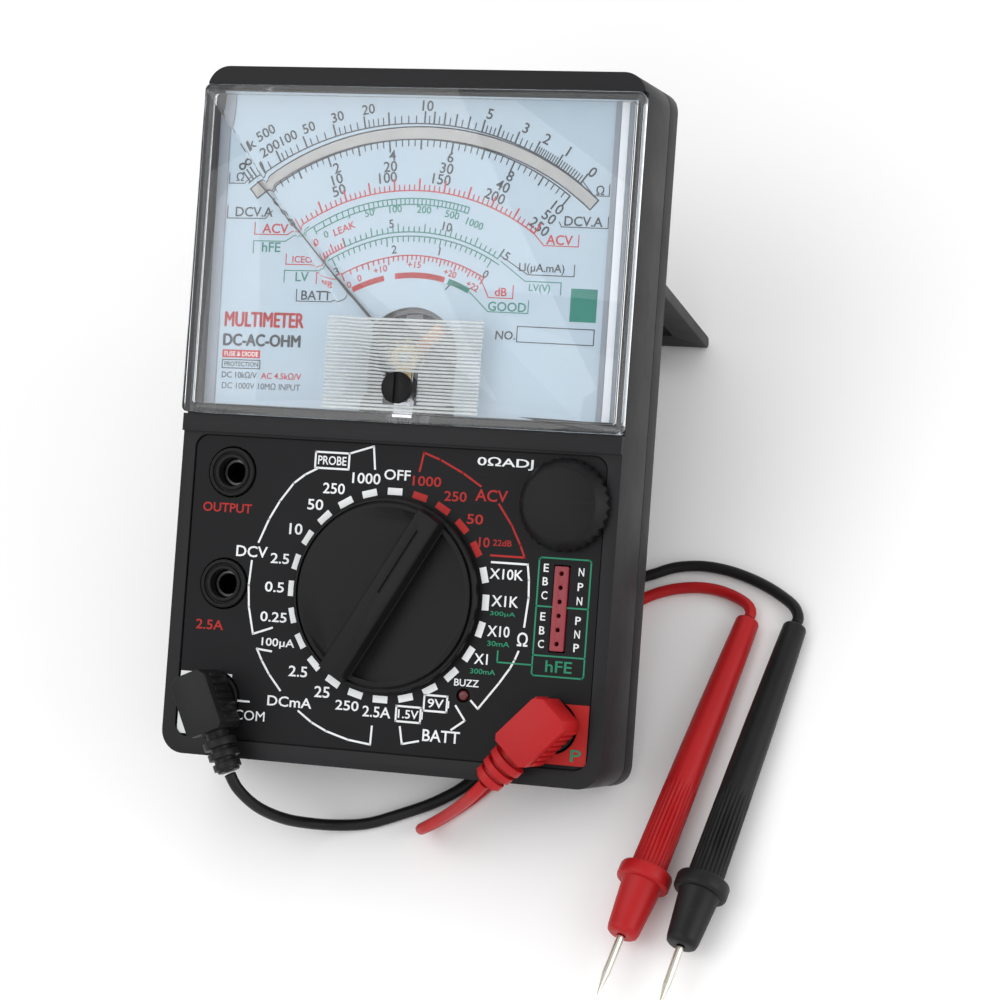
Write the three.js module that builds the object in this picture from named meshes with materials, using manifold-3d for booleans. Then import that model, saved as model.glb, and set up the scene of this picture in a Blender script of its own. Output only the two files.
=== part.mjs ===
// Analog multimeter on its tilt stand, with two test leads lying on the table beside it.
// Millimetres, +Z up, table at z = 0. +X is the meter's right, +Y is away from the reader.
//
// The instrument is modelled flat, in a frame of its own: x right, y up the face, z out of the
// face, origin on the selector's axis at the printed panel. That frame is then tilted back.
import * as THREE from "three";
import { ConvexGeometry } from "three/addons/geometries/ConvexGeometry.js";
import { mergeVertices } from "three/addons/utils/BufferGeometryUtils.js";
import Module from "manifold-3d";

const wasm = await Module();
wasm.setup();

// ---------------------------------------------------------------- driving dimensions
const GAP = 0.3;
const TILT = THREE.MathUtils.degToRad(28);

const WIDTH = 99;
const BOTTOM_Y = -37;
const TOP_Y = 111.5;
const CORNER = 5;
const WALL = 2;
const RIM_Z = 0.4;
const BAR_Z = 1.4;
const SPLIT_Z = -16.8;
const BACK_Z = -23.6;
const PANEL_BACK_Z = -3;

const BAR_Y = 32.4;
const WINDOW_Y = [36.4, 107.3];
const COVER_Z = 2.6;
const COVER_WALL = 2;
const COVER_TOP = 1.5;

const LABEL_Y = [-33, 31.6];
const LABEL_WIDTH = 92.6;
const LABEL_Z = [-0.6, 0];

const DIAL_Z = [-4.4, -3.9];
const PIVOT_Y = 50.5;
const NEEDLE_REST = THREE.MathUtils.degToRad(46);
const NEEDLE_LENGTH = 52;
const ZERO_Y = 43.7;

const KNOB_RADIUS = 20.6;
const KNOB_ANGLE = THREE.MathUtils.degToRad(-30);
const OHM_KNOB = [38.1, 21.3];
const JACKS = {
  output: [-37.6, 24],
  high_current: [-37.7, 0],
  common: [-37.7, -24.5],
  positive: [38.2, -24.7],
};
const HFE_SOCKET = [38.2, -0.2];
const HFE_SIZE = [3, 17.6];
const HFE_PITCH = 2.92;
const LED = [18.4, -19.7];

const HINGE = [75, BACK_Z - 2.6];
const STAND_HALF_WIDTH = 43.8;
const STAND_LENGTH = 55.3;
const STAND_THICKNESS = 2.6;
const STAND_OFFSET = 0.7;
const FOOT_RADIUS = 5.2;
const FOOT_Y = -32;

const CORD_RADIUS = 1.25;
const CORD_STEP = 6.2;
const COIL_MIDDLE = 13.5;
const COIL_COLUMNS = 3;
const COIL_LAYERS = 2;

// ---------------------------------------------------------------- colours
const paint = (color, roughness = 0.6, metalness = 0, extra = {}) =>
  ({ color, roughness, metalness, ...extra });
const BLACK_PLASTIC = paint(0x1c1c1f, 0.55);
const KNOB_BLACK = paint(0x232326, 0.5);
const LABEL_BLACK = paint(0x18181a, 0.45);
const CLEAR = paint(0xdfeef5, 0.05, 0, { transparent: true, opacity: 0.3 });
const DIAL_WHITE = paint(0xe8f1f4, 0.6);
const MIRROR = paint(0xd9d2c0, 0.15, 0.9);
const STEEL = paint(0xb9bcc0, 0.3, 1);
const BRASS = paint(0xc9a862, 0.3, 1);
const COPPER = paint(0xa8622c, 0.35, 1);
const RED_PLASTIC = paint(0xc4161c, 0.5);
const BOARD = paint(0x3f6b45, 0.6);
const RUBBER = paint(0x161616, 0.9);
const LEAD_RED = paint(0xc8181c, 0.5);
const LEAD_BLACK = paint(0x121213, 0.5);

// ---------------------------------------------------------------- shape helpers
function toSolid(geometry) {
  const bare = geometry.clone();
  bare.deleteAttribute("normal");
  bare.deleteAttribute("uv");
  const merged = mergeVertices(bare, 1e-5);
  const index = merged.index.array;
  const kept = [];
  for (let i = 0; i < index.length; i += 3) {
    const [a, b, c] = [index[i], index[i + 1], index[i + 2]];
    if (a !== b && b !== c && a !== c) kept.push(a, b, c);
  }
  const mesh = new wasm.Mesh({
    numProp: 3,
    vertProperties: new Float32Array(merged.attributes.position.array),
    triVerts: new Uint32Array(kept),
  });
  return new wasm.Manifold(mesh);
}

function toGeometry(manifold) {
  const mesh = manifold.getMesh();
  const geometry = new THREE.BufferGeometry();
  geometry.setAttribute("position", new THREE.BufferAttribute(mesh.vertProperties, 3));
  geometry.setIndex(new THREE.BufferAttribute(mesh.triVerts, 1));
  geometry.computeVertexNormals();
  return geometry;
}

function join(...geometries) {
  return toGeometry(geometries.map(toSolid).reduce((a, b) => a.add(b)));
}

function cut(geometry, ...tools) {
  return toGeometry(tools.reduce((solid, tool) => solid.subtract(toSolid(tool)), toSolid(geometry)));
}

function roundedRect(x0, y0, x1, y1, r) {
  const shape = new THREE.Shape();
  shape.moveTo(x0 + r, y0);
  shape.lineTo(x1 - r, y0);
  shape.absarc(x1 - r, y0 + r, r, -Math.PI / 2, 0);
  shape.lineTo(x1, y1 - r);
  shape.absarc(x1 - r, y1 - r, r, 0, Math.PI / 2);
  shape.lineTo(x0 + r, y1);
  shape.absarc(x0 + r, y1 - r, r, Math.PI / 2, Math.PI);
  shape.lineTo(x0, y0 + r);
  shape.absarc(x0 + r, y0 + r, r, Math.PI, 1.5 * Math.PI);
  return shape;
}

function rect(x0, y0, x1, y1) {
  return polygon([[x0, y0], [x1, y0], [x1, y1], [x0, y1]]);
}

function polygon(points) {
  return new THREE.Shape(points.map(([x, y]) => new THREE.Vector2(x, y)));
}

function disc(x, y, r) {
  const shape = new THREE.Shape();
  shape.absarc(x, y, r, 0, 2 * Math.PI);
  return shape;
}

// A flat shape given thickness between two heights.
function slab(shape, z0, z1, segments = 6) {
  const geometry = new THREE.ExtrudeGeometry(shape, {
    depth: z1 - z0,
    bevelEnabled: false,
    curveSegments: segments,
    steps: 1,
  });
  return geometry.translate(0, 0, z0);
}

function block(x0, y0, z0, x1, y1, z1) {
  const geometry = new THREE.BoxGeometry(x1 - x0, y1 - y0, z1 - z0);
  return geometry.translate((x0 + x1) / 2, (y0 + y1) / 2, (z0 + z1) / 2);
}

// A rod or cone along z.
function rod(x, y, z0, z1, r0, r1 = r0, segments = 24) {
  const geometry = new THREE.CylinderGeometry(r1, r0, z1 - z0, segments);
  return geometry.rotateX(Math.PI / 2).translate(x, y, (z0 + z1) / 2);
}

// A rod along x.
function crossRod(x0, x1, y, z, r, segments = 20) {
  const geometry = new THREE.CylinderGeometry(r, r, x1 - x0, segments);
  return geometry.rotateZ(Math.PI / 2).translate((x0 + x1) / 2, y, z);
}

// A turned shape about z. The profile is [radius, height] from the axis back to the axis,
// or a closed loop for a ring.
function turned(profile, segments = 32) {
  const points = profile.map(([r, z]) => new THREE.Vector2(r, z));
  return new THREE.LatheGeometry(points, segments).rotateX(Math.PI / 2);
}

function ring(inner, outer, z0, z1, segments = 32) {
  return turned([[inner, z0], [outer, z0], [outer, z1], [inner, z1], [inner, z0]], segments);
}

function named(name, geometry, look, { position = [0, 0, 0], angle = 0 } = {}) {
  const mesh = new THREE.Mesh(geometry, new THREE.MeshStandardMaterial(look));
  mesh.name = name;
  mesh.position.set(...position);
  mesh.rotation.z = angle;
  return mesh;
}

// ---------------------------------------------------------------- case
const halfWidth = WIDTH / 2;

function frontCase() {
  const outline = roundedRect(-halfWidth, BOTTOM_Y, halfWidth, TOP_Y, CORNER);
  const inner = roundedRect(-halfWidth + WALL, BOTTOM_Y + WALL, halfWidth - WALL, TOP_Y - WALL, CORNER - WALL);
  const far = 60;
  const jackHoles = Object.values(JACKS).map(([x, y]) => rod(x, y, -far, far, 5.6, 5.6, 28));
  const socketHole = block(
    HFE_SOCKET[0] - HFE_SIZE[0] / 2 - GAP, HFE_SOCKET[1] - HFE_SIZE[1] / 2 - GAP, -far,
    HFE_SOCKET[0] + HFE_SIZE[0] / 2 + GAP, HFE_SOCKET[1] + HFE_SIZE[1] / 2 + GAP, far);
  const shell = cut(
    slab(outline, SPLIT_Z, BAR_Z),
    slab(inner, SPLIT_Z - 1, PANEL_BACK_Z),
    block(-far, -far, RIM_Z, far, BAR_Y, far),
    block(-far, WINDOW_Y[0] - GAP, -0.7, far, WINDOW_Y[1] + GAP, far),
    block(-halfWidth + WALL, WINDOW_Y[0], -10, halfWidth - WALL, WINDOW_Y[1], far),
    slab(roundedRect(-LABEL_WIDTH / 2 - GAP, LABEL_Y[0] - GAP, LABEL_WIDTH / 2 + GAP, LABEL_Y[1] + GAP, 3),
      LABEL_Z[0] - GAP, far),
    rod(0, 0, -far, far, 7.2),
    rod(...OHM_KNOB, -far, far, 3.4),
    rod(...LED, -far, far, 1.5, 1.5, 12),
    ...jackHoles,
    socketHole,
  );
  // Ledges on the side walls, under the dial plate's edges.
  const [ledgeTop, ledgeBottom] = [DIAL_Z[0] - GAP, DIAL_Z[0] - 2.2];
  const ledges = [-1, 1].map((side) => {
    const [wall, tip] = [side * (halfWidth - WALL / 2), side * 43.6];
    return block(Math.min(wall, tip), WINDOW_Y[0] + 1, ledgeBottom, Math.max(wall, tip), WINDOW_Y[1] - 1, ledgeTop);
  });
  return join(shell, ...ledges);
}

function rearCover() {
  const top = SPLIT_Z - GAP;
  const outline = roundedRect(-halfWidth, BOTTOM_Y, halfWidth, TOP_Y, CORNER);
  const inner = roundedRect(-halfWidth + WALL, BOTTOM_Y + WALL, halfWidth - WALL, TOP_Y - WALL, CORNER - WALL);
  const backChamfer = 1.6;
  const shell = cut(
    slab(outline, BACK_Z, top),
    slab(inner, BACK_Z + WALL * 0.8, top + 1),
    ...caseScrews.map(([x, y]) => turned([
      [0, -1], [2.5, -1], [2.5, 1.1], [1.5, 1.3], [1.5, 3], [0, 3],
    ], 16).translate(x, y, BACK_Z)),
  );
  const lugs = [-1, 1].map((side) => lug(side * 30.4));
  return chamferBack(join(shell, ...lugs), backChamfer);
}

// Takes the sharp edge off the cover's long back edges.
function chamferBack(geometry, size) {
  const wedge = (x, turn) => block(-size, -200, -size, size, 200, size)
    .rotateY(turn)
    .translate(x, 0, BACK_Z - size * 0.42);
  return cut(geometry, wedge(-halfWidth - size * 0.42, Math.PI / 4), wedge(halfWidth + size * 0.42, Math.PI / 4));
}

const [hingeY, hingeZ] = HINGE;
const PIN_RADIUS = 1.2;
const BARREL_RADIUS = 2.2;

// One ear of the rear cover that holds the stand's pin.
function lug(x) {
  const body = join(
    block(x - 3.2, hingeY - BARREL_RADIUS, hingeZ, x + 3.2, hingeY + BARREL_RADIUS, BACK_Z + 0.5),
    crossRod(x - 3.2, x + 3.2, hingeY, hingeZ, BARREL_RADIUS),
  );
  return cut(body, crossRod(x - 5, x + 5, hingeY, hingeZ, PIN_RADIUS + GAP));
}

const caseScrews = [[-41, 106.8], [45, 106.8]];

function caseScrew() {
  const screw = turned([[0, 0.1], [2.2, 0.1], [2.2, 0.8], [1.2, 1], [1.2, 6.4], [0, 6.4]], 16);
  return cut(screw, block(-1.7, -0.25, -1, 1.7, 0.25, 0.5), block(-0.25, -1.7, -1, 0.25, 1.7, 0.5));
}

function foot() {
  const half = 8;
  const bar = crossRod(-half, half, 0, 0, FOOT_RADIUS, 32);
  return cut(bar, block(-half - 1, -10, 0, half + 1, 10, 10));
}

// ---------------------------------------------------------------- window and panel
function windowCover() {
  const [y0, y1] = WINDOW_Y;
  const outer = roundedRect(-halfWidth, y0, halfWidth, y1, 1.2);
  const inner = roundedRect(-halfWidth + COVER_WALL, y0 + COVER_WALL, halfWidth - COVER_WALL, y1 - COVER_WALL, 0.8);
  return cut(
    slab(outer, -0.4, COVER_Z),
    slab(inner, -1, COVER_Z - COVER_TOP),
    rod(0, ZERO_Y, -5, 10, 2.4, 2.4, 20),
  );
}

function panelPlate() {
  const shape = roundedRect(-LABEL_WIDTH / 2, LABEL_Y[0], LABEL_WIDTH / 2, LABEL_Y[1], 2.8);
  shape.holes.push(disc(0, 0, 7.2), disc(...OHM_KNOB, 3.4), disc(...LED, 1.5));
  for (const place of Object.values(JACKS)) shape.holes.push(disc(...place, 5.6));
  const [hx, hy] = [HFE_SIZE[0] / 2 + GAP, HFE_SIZE[1] / 2 + GAP];
  shape.holes.push(rect(HFE_SOCKET[0] - hx, HFE_SOCKET[1] - hy, HFE_SOCKET[0] + hx, HFE_SOCKET[1] + hy));
  return slab(shape, ...LABEL_Z, 12);
}

// ---------------------------------------------------------------- dial and movement
const DIAL = { halfWidth: 46.8, y0: 38.6, y1: 106.2, cutout: 10.8 };
const MIRROR_ARC = { centreY: 39.4, inner: 57.6, outer: 60, half: THREE.MathUtils.degToRad(40.5) };

function arcBand({ centreY, inner, outer, half }, grow, segments) {
  const shape = new THREE.Shape();
  const spread = half + grow / outer;
  const [a0, a1] = [Math.PI / 2 - spread, Math.PI / 2 + spread];
  shape.absarc(0, centreY, outer + grow, a0, a1, false);
  shape.absarc(0, centreY, inner - grow, a1, a0, true);
  shape.closePath();
  return slab(shape, -0.5, 0.5, segments);
}

function dialPlate() {
  const shape = new THREE.Shape();
  const { halfWidth: w, y0, y1, cutout } = DIAL;
  shape.moveTo(-w, y0);
  shape.lineTo(-cutout, y0);
  shape.lineTo(-cutout, PIVOT_Y);
  shape.absarc(0, PIVOT_Y, cutout, Math.PI, 0, true);
  shape.lineTo(cutout, y0);
  shape.lineTo(w, y0);
  shape.lineTo(w, y1);
  shape.lineTo(-w, y1);
  const band = arcBand(MIRROR_ARC, GAP, 24).scale(1, 1, 4).translate(0, 0, DIAL_Z[0]);
  return cut(slab(shape, ...DIAL_Z, 12), band);
}

function mirrorStrip() {
  return arcBand(MIRROR_ARC, 0, 24).scale(1, 1, DIAL_Z[1] - DIAL_Z[0]).translate(0, 0, (DIAL_Z[0] + DIAL_Z[1]) / 2);
}

const CORE_RADIUS = 7;
const GAP_RADIUS = 9.8;

function magnetYoke() {
  return turned([
    [0, -19], [13.2, -19], [13.2, -5.6], [GAP_RADIUS, -5.6], [GAP_RADIUS, -17.6], [0, -17.6],
  ], 36);
}

function movementCore() {
  const body = join(
    rod(0, 0, -15.2, -6.2, CORE_RADIUS, CORE_RADIUS, 32),
    block(-1.8, -GAP_RADIUS + GAP, -15.2, 1.8, GAP_RADIUS - GAP, -6.2),
  );
  return cut(body, rod(0, 0, -20, 0, 1, 1, 12));
}

function movingCoil() {
  const loop = rect(-9.2, -16.7, 9.2, -4.9);
  loop.holes.push(rect(-7.7, -16, 7.7, -5.7));
  const former = slab(loop, -1.4, 1.4).rotateX(Math.PI / 2);
  return cut(former, rod(0, 0, -20, 0, 0.8, 0.8, 12));
}

function pointer() {
  const blade = polygon([
    [-0.45, 0], [-0.3, 8], [-0.12, NEEDLE_LENGTH], [0.12, NEEDLE_LENGTH], [0.3, 8], [0.45, 0],
    [0.8, -3], [0.8, -6], [-0.8, -6], [-0.8, -3],
  ]);
  const flat = join(slab(blade, -3.1, -2.8), rod(0, 0, -3.2, -2.75, 2, 2, 20));
  return cut(flat, rod(0, 0, -5, 0, 0.8, 0.8, 12));
}

function hairspring() {
  const [turns, steps, width, inner, outer] = [2.5, 50, 0.25, 1.3, 4.3];
  const edge = (shift) => Array.from({ length: steps + 1 }, (_, i) => {
    const angle = (i / steps) * turns * 2 * Math.PI;
    const r = inner + ((outer - inner) * i) / steps + shift;
    return [r * Math.cos(angle), r * Math.sin(angle)];
  });
  return slab(polygon([...edge(width / 2), ...edge(-width / 2).reverse()]), -3.9, -3.5);
}

function movementBridge() {
  const arm = polygon([[-2.2, -12.6], [2.2, -12.6], [2.2, 0], [-2.2, 0]]);
  return join(
    slab(arm, -2.45, -1.9),
    rod(0, 0, -2.45, -1.9, 2.2, 2.2, 20),
    rod(0, 0, -2, -0.9, 1.2, 1.2, 16),
    block(-2.2, -12.6, -5.3, 2.2, -10.4, -1.9),
  );
}

const FORK_HALF = 0.85;

function zeroCorrector() {
  const lever = polygon([
    [-1.8, -1], [-2, -8.6], [-FORK_HALF, -8.6], [-FORK_HALF, -5], [FORK_HALF, -5],
    [FORK_HALF, -8.6], [2, -8.6], [1.8, -1],
  ]);
  const flat = join(slab(lever, -1.6, -1.25), rod(0, 0, -1.6, -1.25, 3, 3, 24));
  return cut(flat, rod(0, 0, -3, 0, 1.5, 1.5, 16));
}

function zeroScrew() {
  const body = turned([
    [0, -0.4], [3, -0.4], [3, 0.8], [2.1, 0.8], [2.1, COVER_Z + GAP], [3.4, COVER_Z + GAP],
    [3.4, COVER_Z + 1.3], [3, COVER_Z + 1.6], [0, COVER_Z + 1.6],
  ], 28);
  const withPin = join(body, rod(0, 0.7, -1.7, 0, 0.55, 0.55, 12));
  return cut(withPin, block(-0.55, -5, COVER_Z + 0.7, 0.55, 5, COVER_Z + 3));
}

// ---------------------------------------------------------------- range selector
const KNOB = { base: 0.5, rim: 2.6, face: 2.8, crest: 6.2, left: -2.6, right: 3, faceRadius: 19.3 };

function selectorKnob() {
  const { base, rim, face, crest, left, right, faceRadius } = KNOB;
  const plate = turned([
    [0, base], [KNOB_RADIUS, base], [KNOB_RADIUS, rim - 0.3], [KNOB_RADIUS - 0.3, rim], [19.9, rim],
    [19.9, 1.6], [faceRadius, 1.6], [faceRadius, face], [0, face],
  ], 64);
  // The face falls away on the right of the grip, down to its foot.
  const hollow = polygon([[right + 0.6, 1], [17.6, face - 0.1], [17.6, 9], [right + 0.6, 9]]);
  const scoop = toGeometry(toSolid(alongGrip(hollow, 20)).intersect(toSolid(rod(0, 0, 0, 10, 18.3, 18.3, 48))));
  // On the left it climbs in one slope to the grip's crest.
  const arc = Array.from({ length: 17 }, (_, i) => {
    const angle = Math.PI / 2 + (i / 16) * Math.PI;
    return new THREE.Vector3(18.6 * Math.cos(angle), 18.6 * Math.sin(angle), face);
  });
  const foot = arc.map((p) => p.clone().setZ(1));
  const ridge = [-17, 17].map((y) => new THREE.Vector3(left + 1, y, crest - 0.5));
  const slope = new ConvexGeometry([...arc, ...foot, ...ridge]);
  const profile = polygon([[left - 0.6, 1], [right + 0.5, 1], [right, crest - 0.3], [right - 0.3, crest],
    [left + 0.3, crest], [left, crest - 0.3]]);
  const ends = rod(0, 0, 0, 20, 20.3, 18.9, 48);
  const bar = toGeometry(toSolid(alongGrip(profile, 22)).intersect(toSolid(ends)));
  const hub = rod(0, 0, -7, base + 0.5, 6, 6, 24);
  const mark = block(-0.3, 0.5, crest - 0.5, 0.3, 16, crest + 1);
  return cut(join(cut(plate, scoop), slope, bar, hub), mark);
}

// A shape drawn across the grip, run along the whole of it.
function alongGrip(shape, half) {
  return slab(shape, -half, half).rotateX(Math.PI / 2);
}

const DETENTS = 24;

function switchRotor() {
  const steps = DETENTS * 4;
  const shape = polygon(Array.from({ length: steps }, (_, i) => {
    const angle = (i / steps) * 2 * Math.PI;
    const r = 15.5 + 0.5 * Math.cos(angle * DETENTS);
    return [r * Math.sin(angle), r * Math.cos(angle)];
  }));
  shape.holes.push(disc(0, 0, 6 + GAP));
  return slab(shape, -6.4, -4.2, 12);
}

function wiperContact() {
  const shape = new THREE.Shape();
  const half = 0.35;
  const [a0, a1] = [Math.PI / 2 - half, Math.PI / 2 + half];
  shape.absarc(0, 0, 14, a0, a1, false);
  shape.absarc(0, 0, 9, a1, a0, true);
  return slab(shape, -7.3, -6.7, 8);
}

// A leaf with a nose that sits in one notch of the rotor's edge.
function detentSpring() {
  const leaf = polygon([
    [17.6, -9], [18.2, -9], [18.2, -1.2], [17.4, 0], [18.2, 1.2], [18.2, 9], [17.6, 9], [17.6, 1.2],
    [16.8, 0], [17.6, -1.2],
  ]);
  return slab(leaf, -6.2, -4.6);
}

// ---------------------------------------------------------------- ohm adjuster and other panel parts
const OHM = { base: 0.5, top: 5.2, baseRadius: 9.9, topRadius: 8 };

function ohmKnob() {
  const flutes = 30;
  const steps = flutes * 4;
  const outline = (r, depth) => Array.from({ length: steps }, (_, i) => {
    const angle = (i / steps) * 2 * Math.PI;
    const reach = r - depth * (0.5 - 0.5 * Math.cos(angle * flutes));
    return [reach * Math.cos(angle), reach * Math.sin(angle)];
  });
  const skirt = toSolid(slab(polygon(outline(OHM.baseRadius, 0.6)), OHM.base, OHM.top));
  const cone = toSolid(turned([
    [0, OHM.base], [OHM.baseRadius, OHM.base], [OHM.baseRadius, OHM.base + 1.2],
    [OHM.topRadius, OHM.top - 0.2], [OHM.topRadius - 0.5, OHM.top], [0, OHM.top],
  ], 60));
  const body = toGeometry(skirt.intersect(cone));
  return join(body, rod(0, 0, -7.4, 1, 2, 2, 20));
}

function ohmPot() {
  const body = join(rod(0, 0, -7.9, -4, 7.5, 7.5, 28), block(-4, -9.5, -7.9, 4, -5, -6.4));
  return cut(body, rod(0, 0, -7.7, 0, 2 + GAP, 2 + GAP, 20));
}

function jackBushing() {
  return turned([
    [3.1, -6], [5.2, -6], [5.2, 0.6], [4.4, 0.6], [4.4, 0], [3.9, 0], [3.9, 0.4], [3.1, 0.4], [3.1, -6],
  ], 32);
}

function jackContact() {
  return ring(2.3, 2.8, -13, -2.4, 24);
}

function hfeSocket() {
  const [hx, hy] = [HFE_SIZE[0] / 2, HFE_SIZE[1] / 2];
  const holes = Array.from({ length: 6 }, (_, i) => rod(0, (i - 2.5) * HFE_PITCH, -3, 2, 0.5, 0.5, 10));
  return cut(slab(roundedRect(-hx, -hy, hx, hy, 0.3), -5, 0.4, 2), ...holes);
}

function continuityLed() {
  return turned([[0, -6], [1.1, -6], [1.1, -0.3], [0.8, 0], [0, 0.15]], 16);
}

// ---------------------------------------------------------------- inside the case
function mainBoard() {
  const shape = roundedRect(-44, -33, 44, 30.5, 1);
  for (const place of Object.values(JACKS)) shape.holes.push(disc(...place, 3.2));
  return slab(shape, -9.8, -8.2, 8);
}

function buzzer() {
  return turned([[0, -13.4], [8.5, -13.4], [8.5, -10.1], [0, -10.1]], 32);
}

function fuse() {
  return crossRod(-10, 10, 0, 0, 2.6, 20);
}

function penCell() {
  const profile = [[0, 0], [7, 0], [7, 48.6], [6.4, 49.2], [2.7, 49.2], [2.7, 50.2], [0, 50.2]];
  return turned(profile, 28).rotateY(Math.PI / 2);
}

function blockBattery() {
  const body = slab(roundedRect(-13, -8.3, 13, 8.3, 2), 0, 45.6, 4);
  const studs = [-6.3, 6.3].map((x) => rod(x, 0, 45, 48, 3, 3, 16));
  return join(body, ...studs).rotateX(-Math.PI / 2);
}

function batterySnap() {
  const cap = slab(roundedRect(-12.6, -7, 12.6, 7, 2), 48.3, 50.4, 4);
  return cap.rotateX(-Math.PI / 2);
}

// ---------------------------------------------------------------- stand
function stand() {
  const w = STAND_HALF_WIDTH;
  const half = STAND_THICKNESS / 2;
  const tip = -STAND_LENGTH + half;
  const plate = cut(
    block(-w, tip, STAND_OFFSET - half, w, -4.2, STAND_OFFSET + half),
    block(-w + 6, tip + 8, -10, w - 6, tip + 15.5, 10),
  );
  const edge = crossRod(-w, w, tip, STAND_OFFSET, half, 16);
  const knuckles = [-1, 1].map((side) => {
    const [a, b] = [side * 34, side * w].sort((p, q) => p - q);
    return join(
      crossRod(a, b, 0, 0, BARREL_RADIUS),
      block(a, -6, STAND_OFFSET - half, b, 0, STAND_OFFSET + half),
    );
  });
  const bores = [-1, 1].map((side) => crossRod(side * 39 - 8, side * 39 + 8, 0, 0, PIN_RADIUS + GAP));
  return cut(join(plate, edge, ...knuckles), ...bores);
}

// How far the stand swings out from the back until its tip is on the table.
function standAngle() {
  const half = STAND_THICKNESS / 2;
  const rise = FOOT_RADIUS + (hingeY - FOOT_Y) * Math.sin(TILT) + (hingeZ - (BACK_Z - GAP)) * Math.cos(TILT);
  const reach = Math.hypot(STAND_LENGTH - half, STAND_OFFSET);
  const lean = Math.atan2(STAND_OFFSET, STAND_LENGTH - half);
  return Math.PI - Math.asin((rise - half) / reach) + lean - TILT;
}

// ---------------------------------------------------------------- test leads
const BOOT = { z0: 0.9, z1: 11.6, back: 5.4, front: 7.8, halfWidth: 4.8, tail: 16.6 };
const tailZ = 5.6;

function plugBoot() {
  const { z0, z1, back, front, halfWidth: w, tail } = BOOT;
  const outline = polygon([
    [-back, -w + 1.6], [-back + 1.6, -w], [front - 1, -w], [front, -w + 1],
    [front, w - 1], [front - 1, w], [-back + 1.6, w], [-back, w - 1.6],
  ]);
  const alongX = (r, x0, x1, segments = 20) => crossRod(x0, x1, 0, tailZ, r, segments);
  const ribs = [[9.6, 11.2, 4.1], [12.2, 13.6, 3.8], [14.6, 16, 3.4]].map(([a, b, r]) => alongX(r, a, b));
  const body = join(slab(outline, z0, z1), alongX(2.7, front - 1, tail), ...ribs);
  return cut(body, rod(0, 0, z0 - 1, 6.3, 2.3, 2.3, 20));
}

function bananaPin() {
  return turned([[0, -11.6], [1.1, -11.6], [2, -10.2], [2, 6], [0, 6]], 20);
}

const PROBE = { top: 2.6, foot: 3.85, collar: 5.75, body: 62.7, collarEnd: 66.3, nose: 78.3, tip: 92 };

function probeHandle() {
  const { top, foot: low, collar, body, collarEnd, nose } = PROBE;
  return turned([
    [0, 0], [top - 0.5, 0], [top, 0.6], [3.3, 30], [low, body], [collar - 0.5, body], [collar, body + 0.6],
    [collar, collarEnd - 0.6], [collar - 0.5, collarEnd], [4.3, collarEnd], [3.3, nose - 1], [2.8, nose], [0, nose],
  ], 24);
}

function probeNeedle() {
  const start = PROBE.nose + GAP;
  return turned([[0, start], [0.85, start], [0.85, PROBE.tip - 5], [0.15, PROBE.tip], [0, PROBE.tip]], 12);
}

// Puts a probe on the table: collar and cord end both touch it.
function probeFrame(end, collar) {
  const group = new THREE.Group();
  const middle = (PROBE.body + PROBE.collarEnd) / 2;
  const from = new THREE.Vector3(end[0], end[1], PROBE.top);
  const slope = (PROBE.collar - PROBE.top) / middle;
  const flat = new THREE.Vector3(collar[0] - end[0], collar[1] - end[1], 0).normalize();
  const along = flat.multiplyScalar(Math.cos(slope)).setZ(Math.sin(slope));
  group.position.copy(from);
  group.quaternion.setFromUnitVectors(new THREE.Vector3(0, 0, 1), along);
  return group;
}

function coilSolid() {
  const [inner, outer] = [-1, 1].map((side) => COIL_MIDDLE + side * COIL_COLUMNS * CORD_RADIUS);
  const top = COIL_LAYERS * 2 * CORD_RADIUS;
  return ring(inner, outer, 0, top, 36);
}

function cordTube(points) {
  const curve = new THREE.CatmullRomCurve3(points.map((p) => new THREE.Vector3(...p)), false, "centripetal");
  const section = new THREE.Shape(Array.from({ length: 8 }, (_, i) => {
    const angle = (i / 8) * 2 * Math.PI;
    return new THREE.Vector2(CORD_RADIUS * Math.cos(angle), CORD_RADIUS * Math.sin(angle));
  }));
  const steps = Math.round(curve.getLength() / CORD_STEP);
  return new THREE.ExtrudeGeometry(section, { steps, extrudePath: curve, bevelEnabled: false });
}

// ---------------------------------------------------------------- assembly
const meter = new THREE.Group();
const movementFrame = new THREE.Group();
movementFrame.position.set(0, PIVOT_Y, 0);

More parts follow.
